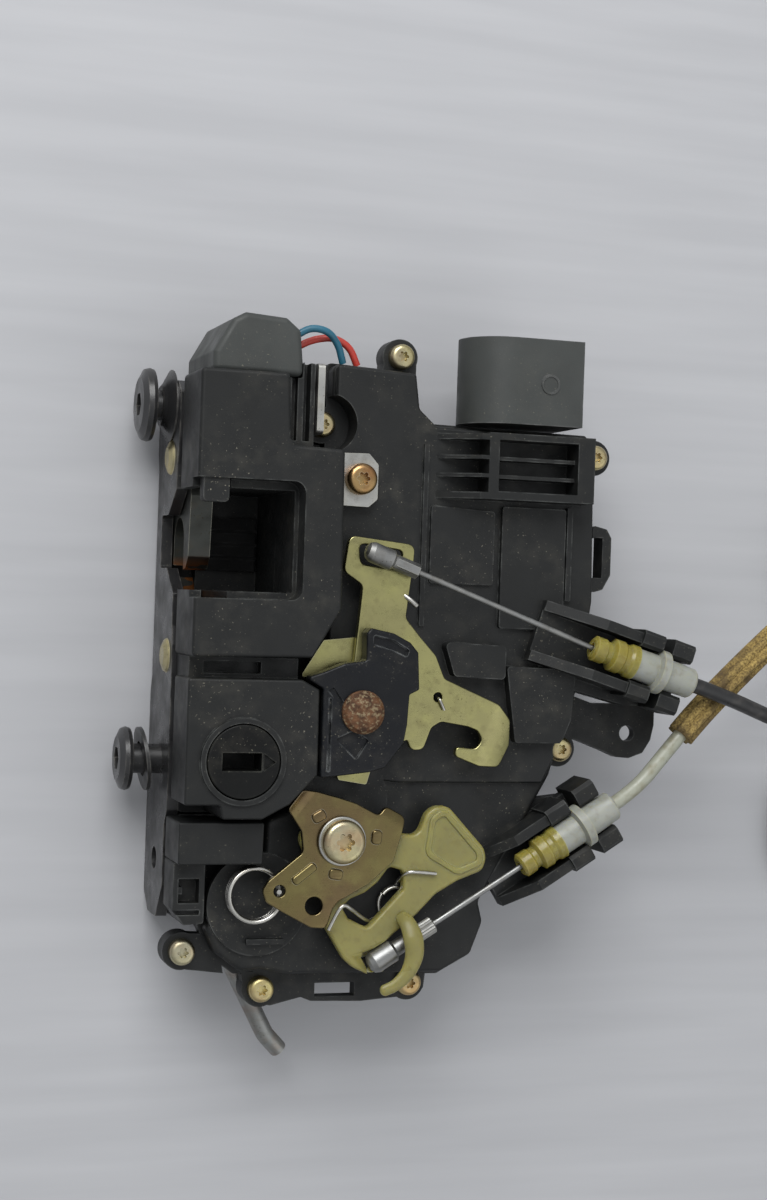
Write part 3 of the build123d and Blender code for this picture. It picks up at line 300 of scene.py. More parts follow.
# ------------------------------------------------------------------ materials
class Shader:
    """A material's nodes, built up a step at a time."""

    def __init__(self, name):
        self.material = bpy.data.materials.new(name)
        self.material.use_nodes = True
        self.nodes = self.material.node_tree.nodes
        self.links = self.material.node_tree.links
        self.surface = self.nodes["Principled BSDF"]
        self.place = self.add("ShaderNodeTexCoord").outputs["Object"]

    def add(self, kind, **settings):
        """A new node with its settings."""
        made = self.nodes.new(kind)
        for key, value in settings.items():
            setattr(made, key, value)
        return made

    def feed(self, socket, value):
        """Gives a socket another node's output, a colour or a number."""
        if isinstance(value, bpy.types.NodeSocket):
            self.links.new(value, socket)
        elif isinstance(value, tuple):
            socket.default_value = (*value, 1)
        else:
            socket.default_value = value

    def noise(self, scale, detail=4.0, stretch=(1, 1, 1)):
        """Clouds of about 1/scale metres."""
        spread = self.add("ShaderNodeMapping")
        spread.inputs["Scale"].default_value = stretch
        self.feed(spread.inputs["Vector"], self.place)
        cloud = self.add("ShaderNodeTexNoise")
        self.feed(cloud.inputs["Vector"], spread.outputs[0])
        cloud.inputs["Scale"].default_value = scale
        cloud.inputs["Detail"].default_value = detail
        return cloud.outputs["Fac"]

    def between(self, value, low, high, start=0.0, end=1.0):
        """value, carried from low..high to start..end and held there."""
        remap = self.add("ShaderNodeMapRange")
        self.feed(remap.inputs["Value"], value)
        for key, number in (("From Min", low), ("From Max", high), ("To Min", start), ("To Max", end)):
            remap.inputs[key].default_value = number
        return remap.outputs["Result"]

    def times(self, a, b):
        """The product of two values."""
        product = self.add("ShaderNodeMath", operation="MULTIPLY")
        self.feed(product.inputs[0], a)
        self.feed(product.inputs[1], b)
        return product.outputs[0]

    def mix(self, share, a, b):
        """Colour a, going over to colour b by share."""
        blend = self.add("ShaderNodeMix", data_type="RGBA")
        self.feed(blend.inputs["Factor"], share)
        self.feed(blend.inputs[MIX_FIRST], a)
        self.feed(blend.inputs[MIX_SECOND], b)
        return blend.outputs[MIX_RESULT]

    def facing_up(self):
        """1 on faces that look up, 0 on walls."""
        split = self.add("ShaderNodeSeparateXYZ")
        self.feed(split.inputs[0], self.add("ShaderNodeNewGeometry").outputs["Normal"])
        return self.between(split.outputs["Z"], 0.35, 0.95)

    def below(self, height, blur):
        """1 where the piece's own Y lies under a height in metres, fading over a blur."""
        split = self.add("ShaderNodeSeparateXYZ")
        self.feed(split.inputs[0], self.place)
        return self.between(split.outputs["Y"], height + blur, height - blur)

    def edges(self, width):
        """1 along edges, fading over a width in metres."""
        round_off = self.add("ShaderNodeBevel", samples=6)
        round_off.inputs["Radius"].default_value = width
        compare = self.add("ShaderNodeVectorMath", operation="DOT_PRODUCT")
        self.feed(compare.inputs[0], round_off.outputs[0])
        self.feed(compare.inputs[1], self.add("ShaderNodeNewGeometry").outputs["Normal"])
        return self.between(compare.outputs["Value"], 0.995, 0.86)

    def bump(self, height, strength, distance):
        """Relief that stands up by a distance in metres where height is 1."""
        raised = self.add("ShaderNodeBump")
        raised.inputs["Strength"].default_value = strength
        raised.inputs["Distance"].default_value = distance
        self.feed(raised.inputs["Height"], height)
        self.feed(self.surface.inputs["Normal"], raised.outputs[0])

    def colour(self, value):
        """Sets the surface's colour."""
        self.feed(self.surface.inputs["Base Color"], value)

    def rough(self, value):
        """Sets the surface's roughness."""
        self.feed(self.surface.inputs["Roughness"], value)


def moulded(name, colour, wear_and_edge_highlight, dust=0.5, rough=0.48, gloss=0.36):
    """Moulded plastic with a fine grain, settled dust, and edges lighter from wear and from a painted
    highlight.
    """
    shader = Shader(name)
    shader.surface.inputs["Specular IOR Level"].default_value = gloss
    mottled = shader.mix(shader.noise(90.0), colour, tuple(MOTTLE * c for c in colour))
    # Edges lighter: partly wear, and partly a painted highlight along every edge.
    edge_wear_and_highlight = shader.times(shader.edges(0.0007), shader.between(shader.noise(260.0), 0.42, 0.68))
    edged = shader.mix(shader.times(edge_wear_and_highlight, 0.75), mottled, wear_and_edge_highlight)
    grains = shader.between(shader.noise(1500.0, 5.0), 0.655, 0.7)
    patches = shader.between(shader.noise(60.0, 6.0), 0.4, 0.66)
    film = shader.times(shader.between(shader.noise(230.0, 8.0), 0.44, 0.78), 0.28)
    dusty = shader.mix(shader.times(shader.times(film, patches), dust), edged, DUST_FILM)
    settled = shader.times(shader.times(grains, patches), shader.facing_up())
    specked = shader.mix(shader.times(settled, dust), dusty, DUST_GRAINS)
    scratch = shader.between(shader.noise(700.0, 3.0, (1.0, 26.0, 1.0)), 0.66, 0.72)
    scratched = shader.mix(shader.times(shader.times(scratch, patches), 0.3), specked, wear_and_edge_highlight)
    shader.colour(scratched)
    shader.rough(shader.between(shader.noise(140.0), 0.3, 0.7, rough - 0.1, rough + 0.16))
    shader.bump(shader.noise(2600.0, 3.0), 0.18, 0.00015)
    return shader.material


def plated(name, colour, tint, second, rough=0.3, rust=0.0, rust_below=None):
    """Plated sheet steel: its colour drifts, with fine pits, a painted highlight along its edges and any
    rust.
    """
    shader = Shader(name)
    shader.surface.inputs["Metallic"].default_value = 1.0
    drift = shader.mix(shader.between(shader.noise(52.0), 0.36, 0.66), colour, tint)
    passed = shader.times(shader.between(shader.noise(150.0, 6.0), 0.5, 0.74), 0.6)
    stained = shader.mix(passed, drift, second)
    pits = shader.between(shader.noise(1900.0, 4.0), 0.63, 0.7)
    where = shader.between(shader.noise(130.0, 5.0), 0.42, 0.64)
    pitted = shader.mix(shader.times(shader.times(pits, where), 0.8), stained, PIT_BROWN)
    film = shader.times(shader.between(shader.noise(360.0, 7.0), 0.54, 0.76), 0.3)
    dirty = shader.mix(film, pitted, PLATING_DIRT)
    # A painted highlight along the edges.
    edged = shader.mix(shader.times(shader.edges(0.00035), 0.4), dirty, PAINTED_EDGE_HIGHLIGHT)
    share = shader.times(shader.between(shader.noise(210.0, 8.0), 0.46, 0.62), rust)
    if rust_below is not None:
        share = shader.times(shader.below(rust_below, RUST_BLUR), shader.between(share, 0.0, 0.2))
    shader.colour(shader.mix(share, edged, RUST))
    shader.rough(shader.between(shader.noise(240.0, 6.0), 0.3, 0.75, rough - 0.07, rough + 0.16))
    shader.bump(shader.noise(420.0, 5.0, (1, 7, 1)), 0.12, 0.0001)
    return shader.material


def rusted(name):
    """A rivet head, rusted all over."""
    shader = Shader(name)
    shader.surface.inputs["Metallic"].default_value = 0.25
    scale = shader.between(shader.noise(480.0, 9.0), 0.36, 0.66)
    base = shader.mix(scale, RIVET_RUST, RIVET_DARK)
    pale = shader.between(shader.noise(1250.0, 7.0), 0.53, 0.64)
    shader.colour(shader.mix(shader.times(pale, 0.8), base, RIVET_PALE))
    shader.rough(shader.between(scale, 0, 1, 0.55, 0.85))
    shader.bump(shader.noise(900.0, 8.0), 0.55, 0.0004)
    return shader.material


def translucent(name, colour, stain, rough=0.4, through=0.25, dirt=0.35):
    """Natural nylon or soft rubber that lets light into it, with a painted highlight along its edges."""
    shader = Shader(name)
    shader.surface.inputs["Subsurface Weight"].default_value = through
    shader.surface.inputs["Subsurface Radius"].default_value = (0.004, 0.003, 0.001)
    shader.surface.inputs["Subsurface Scale"].default_value = 1.0
    body = shader.mix(shader.between(shader.noise(110.0), 0.35, 0.68), colour, stain)
    grime = shader.times(shader.between(shader.noise(520.0, 8.0), 0.52, 0.74), dirt)
    # A painted highlight along the edges, as light showing through thin nylon.
    corners = shader.times(shader.edges(0.0007), 0.3)
    soiled = shader.mix(grime, body, NYLON_GRIME)
    shader.colour(shader.mix(corners, soiled, PAINTED_RIM_HIGHLIGHT))
    shader.rough(shader.between(shader.noise(240.0), 0.3, 0.7, rough - 0.1, rough + 0.15))
    shader.bump(shader.noise(1500.0, 4.0), 0.12, 0.0001)
    return shader.material


def extruded(name, colour, stain, rough, dirt):
    """A cable's sheath or a wire's insulation, with dirt rubbed into it."""
    shader = Shader(name)
    grime = shader.times(shader.between(shader.noise(330.0, 7.0), 0.46, 0.7), dirt)
    shader.colour(shader.mix(grime, colour, stain))
    shader.rough(shader.between(shader.noise(200.0), 0.3, 0.7, rough - 0.08, rough + 0.18))
    shader.bump(shader.noise(1300.0, 4.0), 0.1, 0.0001)
    return shader.material


def foam_cloth(name):
    """The brown ribbed foam of the cable's sleeve."""
    shader = Shader(name)
    fuzz = shader.noise(1700.0, 9.0)
    base = shader.mix(shader.between(fuzz, 0.32, 0.7), FOAM_DARK, FOAM_PALE)
    shader.colour(shader.mix(shader.between(shader.noise(160.0), 0.45, 0.7), base, FOAM_SOILED))
    shader.rough(shader.between(fuzz, 0.2, 0.8, 0.82, 1.0))
    shader.bump(fuzz, 0.8, 0.0006)
    return shader.material


def pale_floor(name):
    """Plain pale boards."""
    shader = Shader(name)
    grain = shader.noise(9.0, 6.0, (1, 14, 1))
    shader.colour(shader.mix(shader.between(grain, 0.3, 0.7), FLOOR_DARK, FLOOR_PALE))
    shader.rough(shader.between(grain, 0.3, 0.7, 0.5, 0.62))
    shader.bump(grain, 0.04, 0.0004)
    return shader.material


def slot_materials():
    """A finish for every slot in the record, each from its maker and that maker's values."""
    claw_rust = at(0, CLAW_RUST_Y, 0).y
    looks = {
        "black_plastic": (moulded, (0.0115, 0.0125, 0.0125), (0.11, 0.115, 0.11), 0.75),
        "grey_plastic": (moulded, (0.064, 0.069, 0.066), (0.18, 0.18, 0.18), 0.7),
        "key_plastic": (moulded, (0.006, 0.0065, 0.0065), (0.1, 0.1, 0.085), 1.0, 0.5, 0.2),
        "coated_plastic": (moulded, (0.007, 0.008, 0.0105), (0.2, 0.21, 0.21), 0.6, 0.34, 0.26),
        "plate_steel": (moulded, (0.022, 0.022, 0.023), (0.2, 0.19, 0.17), 0.6, 0.3, 0.6),
        "claw_steel": (
            plated, (0.085, 0.09, 0.083), (0.065, 0.066, 0.06), (0.11, 0.105, 0.095), 0.42, 1.0, claw_rust,
        ),
        "pin_steel": (plated, (0.56, 0.47, 0.2), (0.45, 0.42, 0.3), (0.6, 0.5, 0.3)),
        "rubber": (moulded, (0.016, 0.016, 0.016), (0.06, 0.06, 0.06), 0.4, 0.75),
        "zinc_plate": (plated, (0.56, 0.56, 0.54), (0.42, 0.42, 0.4), (0.5, 0.46, 0.38), 0.38),
        "yellow_zinc": (plated, (0.62, 0.53, 0.24), (0.5, 0.47, 0.33), (0.62, 0.4, 0.2), 0.32, 0.25),
        "lever_zinc": (plated, (0.42, 0.40, 0.175), (0.36, 0.335, 0.16), (0.5, 0.48, 0.19), 0.27),
        "nylon": (translucent, (0.275, 0.25, 0.078), (0.23, 0.21, 0.072), 0.34, 0.55, 0.3),
        "rusty_steel": (rusted,),
        "spring_steel": (plated, (0.62, 0.61, 0.58), (0.5, 0.49, 0.45), (0.5, 0.44, 0.35), 0.25),
        "nipple_zinc": (plated, (0.33, 0.335, 0.33), (0.27, 0.27, 0.265), (0.44, 0.43, 0.4), 0.45),
        "crank_steel": (plated, (0.33, 0.34, 0.33), (0.26, 0.26, 0.25), (0.3, 0.24, 0.18), 0.42, 0.2),
        "amber_rubber": (translucent, (0.29, 0.26, 0.062), (0.24, 0.19, 0.03), 0.26, 0.6, 0.35),
        "white_plastic": (translucent, (0.35, 0.36, 0.325), (0.28, 0.29, 0.25), 0.38, 0.2, 0.3),
        "black_sheath": (extruded, (0.02, 0.02, 0.021), (0.11, 0.1, 0.09), 0.34, 0.35),
        "clear_sheath": (extruded, (0.36, 0.37, 0.30), (0.2, 0.17, 0.09), 0.3, 0.6),
        "foam": (foam_cloth,),
        "blue_wire": (extruded, (0.02, 0.13, 0.2), (0.03, 0.05, 0.06), 0.35, 0.4),
        "red_wire": (extruded, (0.5, 0.045, 0.03), (0.2, 0.05, 0.04), 0.35, 0.4),
        "contact_brass": (plated, (0.66, 0.6, 0.42), (0.55, 0.5, 0.4), (0.5, 0.42, 0.3), 0.3),
    }
    return {slot: make(slot, *values) for slot, (make, *values) in looks.items()}


def copper_zinc():
    """The tab screw's plating, redder than the others' in its slot."""
    return plated("copper_zinc", (0.50, 0.38, 0.16), (0.42, 0.24, 0.12), (0.5, 0.47, 0.2), 0.32, 0.4)


def bronze_zinc():
    """The lock plate's darker plating, between gold and a faint red."""
    return plated("bronze_zinc", (0.19, 0.155, 0.066), (0.18, 0.125, 0.068), (0.26, 0.23, 0.09), 0.25)


def dress_nodes(frame, finishes):
    """Gives each CAD node its slot's finish, or its own."""
    own = {"tab_screw": copper_zinc()}
    for piece in frame["record"]["subparts"]:
        node = piece["node"]
        shape = frame["nodes"][node]
        shape.data.materials.clear()
        shape.data.materials.append(own.get(node, finishes[piece["material_slot"]]))


def finish_piece(piece, body, finish):
    """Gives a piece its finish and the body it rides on."""
    piece.data.materials.append(finish)
    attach(piece, body)


# ---------------------------------------------------------------------- tubes
def heading(line, k):
    """The way a line runs at its k-th point."""
    return line[min(k + 1, len(line) - 1)] - line[max(k - 1, 0)]


def skin(name, rings):
    """A mesh over rings of points, closed at both ends."""
    sides = len(rings[0])
    vertices = [point for ring in rings for point in ring]
    faces = []
    for k in range(len(rings) - 1):
        for s in range(sides):
            a = k * sides + s
            b = k * sides + (s + 1) % sides
            faces.append((a, b, b + sides, a + sides))
    faces.append(tuple(reversed(range(sides))))
    faces.append(tuple(range(len(vertices) - sides, len(vertices))))
    mesh = bpy.data.meshes.new(name)
    mesh.from_pydata(vertices, [], faces)
    return mesh


def lobed_tube(name, line, radius, depth, lobes):
    """A soft tube that follows a line, with rounded ridges along it."""
    sides = SIDES_PER_LOBE * lobes
    rings = []
    for k, here in enumerate(line):
        turn = heading(line, k).to_track_quat("Z", "Y")
        ring = []
        for s in range(sides):
            around = 2 * pi * s / sides
            reach = radius - depth * (1 - abs(cos(lobes * around / 2)))
            ring.append(here + turn @ Vector((reach * cos(around), reach * sin(around), 0)))
        rings.append(ring)
    mesh = skin(name, rings)
    mesh.shade_smooth()
    return placed(name, mesh)


def tube(line, radii, sides, flatness=1.0, knurl=0.0):
    """A closed tube along a line; its flatness and knurling are shares of its radius."""
    rings = []
    for k, here in enumerate(line):
        ahead = heading(line, k)
        side = ahead.cross(Vector((0, 0, 1))).normalized()
        top = side.cross(ahead).normalized()
        ring = []
        for s in range(sides):
            around = 2 * pi * s / sides
            reach = radii[k] * (1 - knurl * (s % 2))
            ring.append(here + side * (reach * cos(around)) + top * (reach * flatness * sin(around)))
        rings.append(ring)
    return skin("tube", rings)


def route_curve(name, points, diameter):
    """One smooth open spline with the points as its control points."""
    line = bpy.data.curves.new(name, "CURVE")
    line.dimensions = "3D"
    line.resolution_u = CURVE_STEPS
    line.bevel_depth = diameter * MM / 2
    line.bevel_resolution = CURVE_ROUNDNESS
    line.use_fill_caps = True
    spline = line.splines.new("NURBS")
    spline.points.add(len(points) - 1)
    for control, point in zip(spline.points, points):
        control.co = (*at(*point), 1.0)
    spline.order_u = 3
    spline.use_endpoint_u = True
    return placed(name, line)


def centre_line(points):
    """Points along the route's smooth line, in order."""
    bare = route_curve("route_line", points, 0.0)
    bpy.context.view_layer.update()
    mesh = bpy.data.meshes.new_from_object(bare)
    line = [v.co.copy() for v in mesh.vertices]
    bpy.data.objects.remove(bare)
    return line


# ---------------------------------------------------------------------- cords
def coil_points(centre, start, sweep, bundle, height):
    """Control points of turns that lie beside and over each other, from start by sweep degrees."""
    points = []
    steps = int(abs(sweep) / COIL_STEP)
    for k in range(1, steps + 1):
        turned = sweep * k / steps
        place = radians(start + turned)
        strand = radians(COIL_TOP + abs(turned) / COIL_LAY)
        reach = COIL_R + bundle * cos(strand)
        x = centre[0] + reach * cos(place)
        y = centre[1] + reach * sin(place)
        points.append((x, y, height + bundle * sin(strand)))
    return points


def tail_points(last, end_x, end_y):
    """A gentle bend from the coil's last point into the cable's end fitting."""
    bend_x = (1 - TAIL_ACROSS) * last[0] + TAIL_ACROSS * end_x
    bend_y = last[1] - TAIL_DOWN * TAIL_LONG
    bend_z = (last[2] + END_Z) / 2
    return [(bend_x, bend_y, bend_z), (end_x, end_y + TAIL_STRAIGHT, END_Z), (end_x, end_y, END_Z)]


def free_cable(name, route, coil, end_side, diameter):
    """A cable from its bracket through its coil to its end fitting, on the coil's right or left."""
    centre = coil[0]
    turns = coil_points(*coil)
    tail = tail_points(turns[-1], centre[0] + end_side * COIL_R, centre[1] - TAIL_LONG)
    return route_curve(name, route + turns + tail, diameter)


def foam_sleeve():
    """The ribbed sleeve on the second cable."""
    before, after = SLEEVE_RUNS
    low = (at(*ROUTE_2[before - 1]).x + at(*ROUTE_2[before]).x) / 2
    high = (at(*ROUTE_2[after - 1]).x + at(*ROUTE_2[after - 2]).x) / 2
    line = [p for p in centre_line(ROUTE_2) if low <= p.x <= high]
    return lobed_tube("cable_2_foam", line, SLEEVE_D * MM / 2, SLEEVE_RIDGE * MM, SLEEVE_LOBES)


def free_cords(finishes):
    """Both cables with their coils, and the sleeve on the second."""
    first = free_cable("cable_1_free", ROUTE_1, COIL_1, 1, SHEATH_1_D)
    finish_piece(first, "housing", finishes["black_sheath"])
    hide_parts("cord_1_sheath", "cord_1_coil")

    second = free_cable("cable_2_free", ROUTE_2, COIL_2, -1, SHEATH_2_D)
    finish_piece(second, "housing", finishes["clear_sheath"])
    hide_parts("cord_2_sheath", "cord_2_coil")

    sleeve = foam_sleeve()
    finish_piece(sleeve, "housing", finishes["foam"])
    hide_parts("cord_2_sleeve")


def spring_ends(finishes):
    """The springs' bent ends, each hooked over or through its own lever."""
    for name, body, diameter, points in SPRING_ENDS:
        end = route_curve(name, points, diameter)
        finish_piece(end, body, finishes["spring_steel"])


# --------------------------------------------------------------------- plates
def rounded(points, radius):
    """A closed outline whose corners become smooth bends, as large as the sides allow."""
    outline = []
    for k, corner in enumerate(points):
        here = Vector(corner)
        back = Vector(points[k - 1]) - here
        ahead = Vector(points[(k + 1) % len(points)]) - here
        turn = pi - back.angle(ahead)
        cut = min(radius * tan(turn / 2), MOST_OF_SIDE * back.length, MOST_OF_SIDE * ahead.length)
        start = here + back.normalized() * cut
        end = here + ahead.normalized() * cut
        steps = max(2, int(degrees(turn) / CORNER_STEP))
        for s in range(steps + 1):
            share = s / steps
            outline.append((1 - share) ** 2 * start + 2 * share * (1 - share) * here + share ** 2 * end)
    return outline


def circle(centre, radius, count=48):
    """Points round a circle."""
    points = []
    for k in range(count):
        around = 2 * pi * k / count
        points.append(Vector((centre[0] + radius * cos(around), centre[1] + radius * sin(around))))
    return points


def oblong(centre, long, wide, turn):
    """A rectangle's corners, turned by degrees about its middle."""
    swing = Matrix.Rotation(radians(turn), 2)
    corners = [(-long, -wide), (long, -wide), (long, wide), (-long, wide)]
    return [Vector(centre) + swing @ Vector((x / 2, y / 2)) for x, y in corners]


def pressed(loops, low, high, edge):
    """A plate between two heights, of an outline and its holes, with softly rounded edges."""
    shape = bpy.data.curves.new("plate", "CURVE")
    shape.dimensions = "2D"
    shape.fill_mode = "BOTH"
    shape.extrude = (high - low) * MM / 2 - edge * MM
    shape.bevel_depth = edge * MM
    shape.bevel_resolution = EDGE_STEPS
    shape.offset = -edge * MM
    for loop in loops:
        spline = shape.splines.new("POLY")
        spline.points.add(len(loop) - 1)
        for control, point in zip(spline.points, loop):
            control.co = (*at(*point, 0).xy, 0, 1)
        spline.use_cyclic_u = True
    flat = placed("plate", shape)
    bpy.context.view_layer.update()
    mesh = bpy.data.meshes.new_from_object(flat)
    bpy.data.objects.remove(flat)
    mesh.transform(Matrix.Translation((0, 0, (low + high) / 2 * MM)))
    return mesh


def bend(mesh, start, direction, reach, rise):
    """Bends the mesh up or down beyond a line, more and more over its reach."""
    across = Vector((*direction, 0)).normalized()
    origin = at(*start, 0)
    work = bmesh.new()
    work.from_mesh(mesh)
    for step in range(BEND_STEPS):
        place = origin + across * (reach * MM * step / BEND_STEPS)
        everything = work.verts[:] + work.edges[:] + work.faces[:]
        bmesh.ops.bisect_plane(work, geom=everything, plane_co=place, plane_no=across)
    for vertex in work.verts:
        past = (vertex.co - origin).dot(across) / (reach * MM)
        if past > 0:
            vertex.co.z += rise * MM * past ** 2
    work.to_mesh(mesh)
    work.free()


def one_piece(name, meshes):
    """One object of several meshes, with its seams welded and its flat faces kept flat."""
    work = bmesh.new()
    for mesh in meshes:
        part = bmesh.new()
        part.from_mesh(mesh)
        bmesh.ops.remove_doubles(part, verts=part.verts, dist=WELD)
        bmesh.ops.recalc_face_normals(part, faces=part.faces)
        welded = bpy.data.meshes.new("part")
        part.to_mesh(welded)
        part.free()
        work.from_mesh(welded)
    joined = bpy.data.meshes.new(name)
    work.to_mesh(joined)
    work.free()
    joined.shade_smooth()
    piece = placed(name, joined)
    piece.modifiers.new("flat_faces", "WEIGHTED_NORMAL")
    return piece


# --------------------------------------------------------------------- levers
def release_lever(finishes):
    """The upper cable's lever, whose hooked end curls down, and the wire peg on it."""
    low, high = RELEASE_Z
    outline = rounded(RELEASE_OUTLINE, RELEASE_CORNER)
    slot = rounded(RELEASE_SLOT, RELEASE_SLOT_CORNER)
    holes = [circle(RIVET, RIVET_FIT_R), circle(SPRING_HOLE, SPRING_HOLE_R, 24)]
    plate = pressed([outline, slot, *holes], low, high, PLATE_EDGE)
    bend(plate, *RELEASE_HOOK_BEND)
    lever = one_piece("release_lever_plate", [plate])
    finish_piece(lever, "release_lever", finishes["lever_zinc"])
    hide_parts("release_lever")
    peg = route_curve("release_lever_peg", PEG_LINE, PEG_D)
    finish_piece(peg, "release_lever", finishes["spring_steel"])


def lock_plate():
    """The plate over the nylon lever, with two bent lips and raised pads."""
    low, high = LOCK_PLATE_Z
    outline = rounded(LOCK_OUTLINE, LOCK_CORNER)
    holes = [circle(LOCK_PIVOT, PIVOT_FIT_R)] + [circle(*hole) for hole in LOCK_HOLES]
    plate = pressed([outline, *holes], low, high, PLATE_EDGE)
    for lip in LOCK_BENDS:
        bend(plate, *lip)
    pads = []
    for pad in LOCK_PADS:
        corners = rounded(oblong(*pad), PAD_CORNER)
        pads.append(pressed([corners], high - PAD_SUNK, high + PAD_HIGH, PAD_EDGE))
    piece = one_piece("lock_plate_pressed", [plate, *pads])
    finish_piece(piece, "lock_plate", bronze_zinc())
    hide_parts("lock_plate")


def pivot_flange(finishes):
    """The broad flange under the pivot screw's head."""
    low, high = FLANGE_RISE
    edges = [circle(LOCK_PIVOT, FLANGE_R), circle(LOCK_PIVOT, FLANGE_HOLE_R)]
    ring = pressed(edges, LOCK_PLATE_Z[1] + low, LOCK_PLATE_Z[1] + high, PLATE_EDGE)
    flange = one_piece("pivot_screw_flange", [ring])
    finish_piece(flange, "housing", finishes["zinc_plate"])


def carve(piece, start, angle, height):
    """Cuts a round channel along a cable's line out of a piece."""
    turn = Vector((cos(radians(angle)), sin(radians(angle)), 0))
    begin = at(*start, height) - turn * CHANNEL_BEHIND * MM
    ends = [begin, begin + turn * CHANNEL_LONG * MM]
    tool = one_piece("channel", [tube(ends, [CHANNEL_R * MM] * 2, CHANNEL_SIDES)])
    cut = piece.modifiers.new("channel", "BOOLEAN")
    cut.operation = "DIFFERENCE"
    cut.object = tool
    bpy.context.view_layer.update()
    view = bpy.context.evaluated_depsgraph_get()
    carved = bpy.data.meshes.new_from_object(piece.evaluated_get(view))
    piece.modifiers.clear()
    piece.data = carved
    bpy.data.objects.remove(tool)


def finger_tube(places, radii):
    """The curved finger, smoothly through its places, with a rounded tip."""
    line = []
    reach = []
    last = len(places) - 1
    for k in range(last):
        before, a, b, after = places[max(k - 1, 0)], places[k], places[k + 1], places[min(k + 2, last)]
        for s in range(FINGER_STEPS):
            t = s / FINGER_STEPS
            sway = (b - before) * (t - 2 * t ** 2 + t ** 3) / 2 + (after - a) * (t ** 3 - t ** 2) / 2
            line.append(a * (1 - 3 * t ** 2 + 2 * t ** 3) + b * (3 * t ** 2 - 2 * t ** 3) + sway)
            reach.append(radii[k] * (1 - t) + radii[k + 1] * t)
    end = places[-1]
    onward = (end - places[-2]).normalized()
    for step in range(TIP_STEPS + 1):
        turned = pi / 2 * step / TIP_STEPS
        line.append(end + onward * radii[-1] * sin(turned) * TIP_LONG)
        reach.append(max(radii[-1] * cos(turned), TIP_R * MM))
    return tube(line, reach, FINGER_SIDES, FINGER_FLATNESS)


def nylon_lever(finishes):
    """The moulded lever: a body with a rimmed paddle, and a finger that curls over the nipple."""
    low, high = NYLON_Z
    outline = rounded(NYLON_OUTLINE, NYLON_CORNER)
    window = rounded(NYLON_WINDOW, NYLON_WINDOW_CORNER)
    flat = pressed([outline, window, circle(LOCK_PIVOT, PIVOT_FIT_R)], low, high, NYLON_EDGE)
    body = one_piece("nylon_lever_body", [flat])
    for swing in CHANNEL_SWINGS:
        carve(body, NIPPLE_2, WIRE_2_ANGLE + swing, WIRE_2_Z)
    edges = [rounded(line, corner) for line, corner in zip((RIM_OUTSIDE, RIM_INSIDE), RIM_CORNERS)]
    rim = pressed(edges, high - RIM_SUNK, high + RIM_HIGH, RIM_EDGE)
    finger = finger_tube([at(*place) for place, _ in FINGER], [half * MM for _, half in FINGER])
    piece = one_piece("nylon_lever_moulding", [body.data, rim, finger])
    bpy.data.objects.remove(body)
    finish_piece(piece, "nylon_lever", finishes["nylon"])
    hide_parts("nylon_lever")


def crimps(finishes):
    """The sleeves crimped on the wires behind their nipples, one with flats and one knurled."""
    for name, body, (nipple, angle, height), (begin, end), radius, sides, knurl in CRIMPS:
        turn = Vector((cos(radians(angle)), sin(radians(angle)), 0))
        line = [at(*nipple, height) + turn * (begin + (end - begin) * share) * MM for share in CRIMP_PLACES]
        mouth = CRIMP_MOUTH * radius * MM
        mesh = tube(line, [mouth, radius * MM, radius * MM, mouth], sides, knurl=knurl)
        finish_piece(placed(name, mesh), body, finishes["nipple_zinc"])


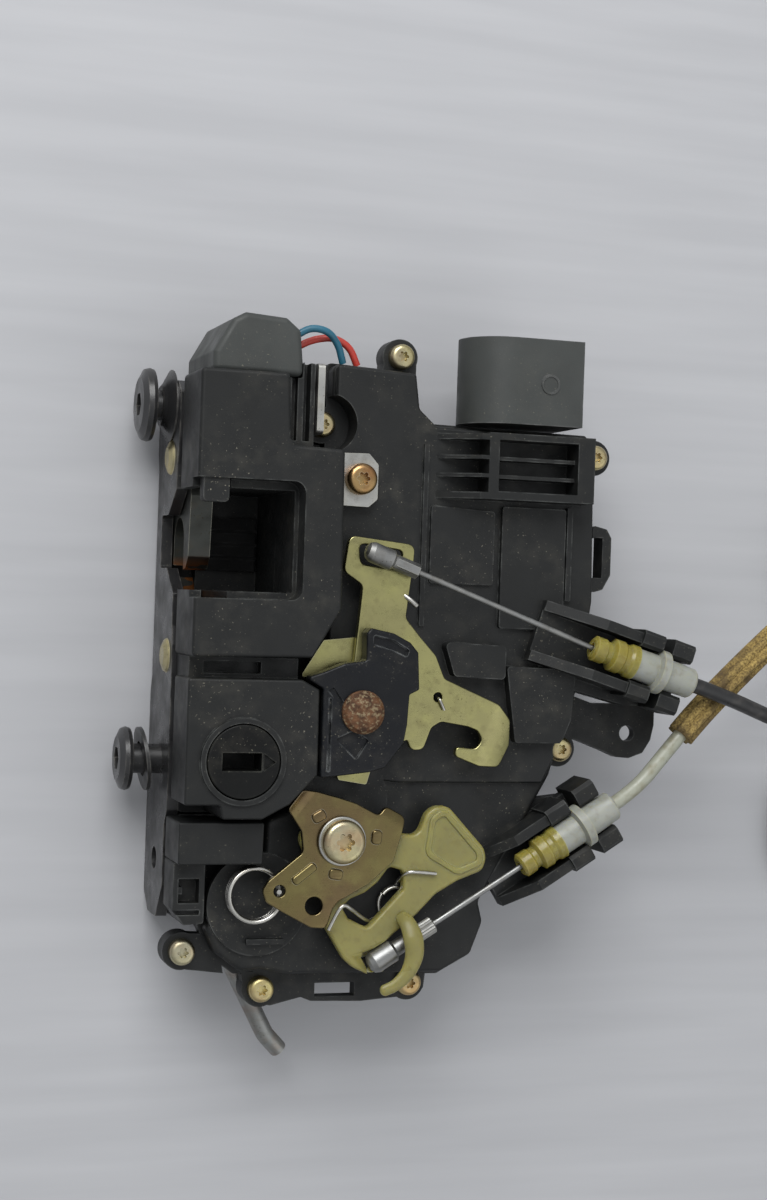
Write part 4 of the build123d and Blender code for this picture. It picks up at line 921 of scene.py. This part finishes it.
# ---------------------------------------------------------------------- stage
def floor():
    """The pale surface the latch lies on."""
    mesh = bpy.data.meshes.new("floor")
    corners = [
        (-FLOOR_REACH, -FLOOR_REACH, FLOOR_Z), (FLOOR_REACH, -FLOOR_REACH, FLOOR_Z),
        (FLOOR_REACH, FLOOR_REACH, FLOOR_Z), (-FLOOR_REACH, FLOOR_REACH, FLOOR_Z),
    ]
    mesh.from_pydata(corners, [], [(0, 1, 2, 3)])
    ground = placed("floor", mesh)
    mesh.materials.append(pale_floor("floor"))


def lamp(name, place, size, power):
    """A soft square light that looks at the latch."""
    light = bpy.data.lights.new(name, "AREA")
    light.shape = "SQUARE"
    light.size = size
    light.energy = power
    holder = placed(name, light)
    holder.location = place
    holder.rotation_euler = (-Vector(place)).to_track_quat("-Z", "Y").to_euler()


def sky():
    """Soft light from all round, stronger from above."""
    world = bpy.data.worlds.new("studio")
    world.use_nodes = True
    nodes = world.node_tree.nodes
    links = world.node_tree.links
    nodes["Background"].inputs["Color"].default_value = SKY_COLOUR
    split = nodes.new("ShaderNodeSeparateXYZ")
    links.new(nodes.new("ShaderNodeTexCoord").outputs["Generated"], split.inputs[0])
    rise = nodes.new("ShaderNodeMapRange")
    links.new(split.outputs["Z"], rise.inputs["Value"])
    rise.inputs["From Min"].default_value, rise.inputs["From Max"].default_value = SKY_RISE
    rise.inputs["To Min"].default_value, rise.inputs["To Max"].default_value = SKY_STRENGTH
    links.new(rise.outputs["Result"], nodes["Background"].inputs["Strength"])
    bpy.context.scene.world = world


def lights():
    """Soft daylight from above, stronger from the far side."""
    sky()
    for settings in LAMPS:
        lamp(*settings)


def camera():
    """The photograph's view."""
    lens = bpy.data.cameras.new("camera")
    lens.sensor_fit = "VERTICAL"
    lens.sensor_height = SENSOR_HIGH
    lens.lens = LENS
    lens.clip_start = NEAREST_SEEN
    holder = placed("camera", lens)
    turn = Matrix((CAMERA_RIGHT, CAMERA_UP, CAMERA_BACK)).transposed()
    holder.matrix_world = Matrix.Translation(at(*CAMERA_AT)) @ turn.to_4x4()
    bpy.context.scene.camera = holder


def main():
    """Dresses the part, adds what Blender makes, and sets the stage."""
    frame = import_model()
    finishes = slot_materials()
    dress_nodes(frame, finishes)
    free_cords(finishes)
    spring_ends(finishes)
    release_lever(finishes)
    lock_plate()
    nylon_lever(finishes)
    crimps(finishes)
    pivot_flange(finishes)
    floor()
    lights()
    camera()
    bpy.context.scene.view_settings.view_transform = "Standard"
    bpy.context.view_layer.update()


main()
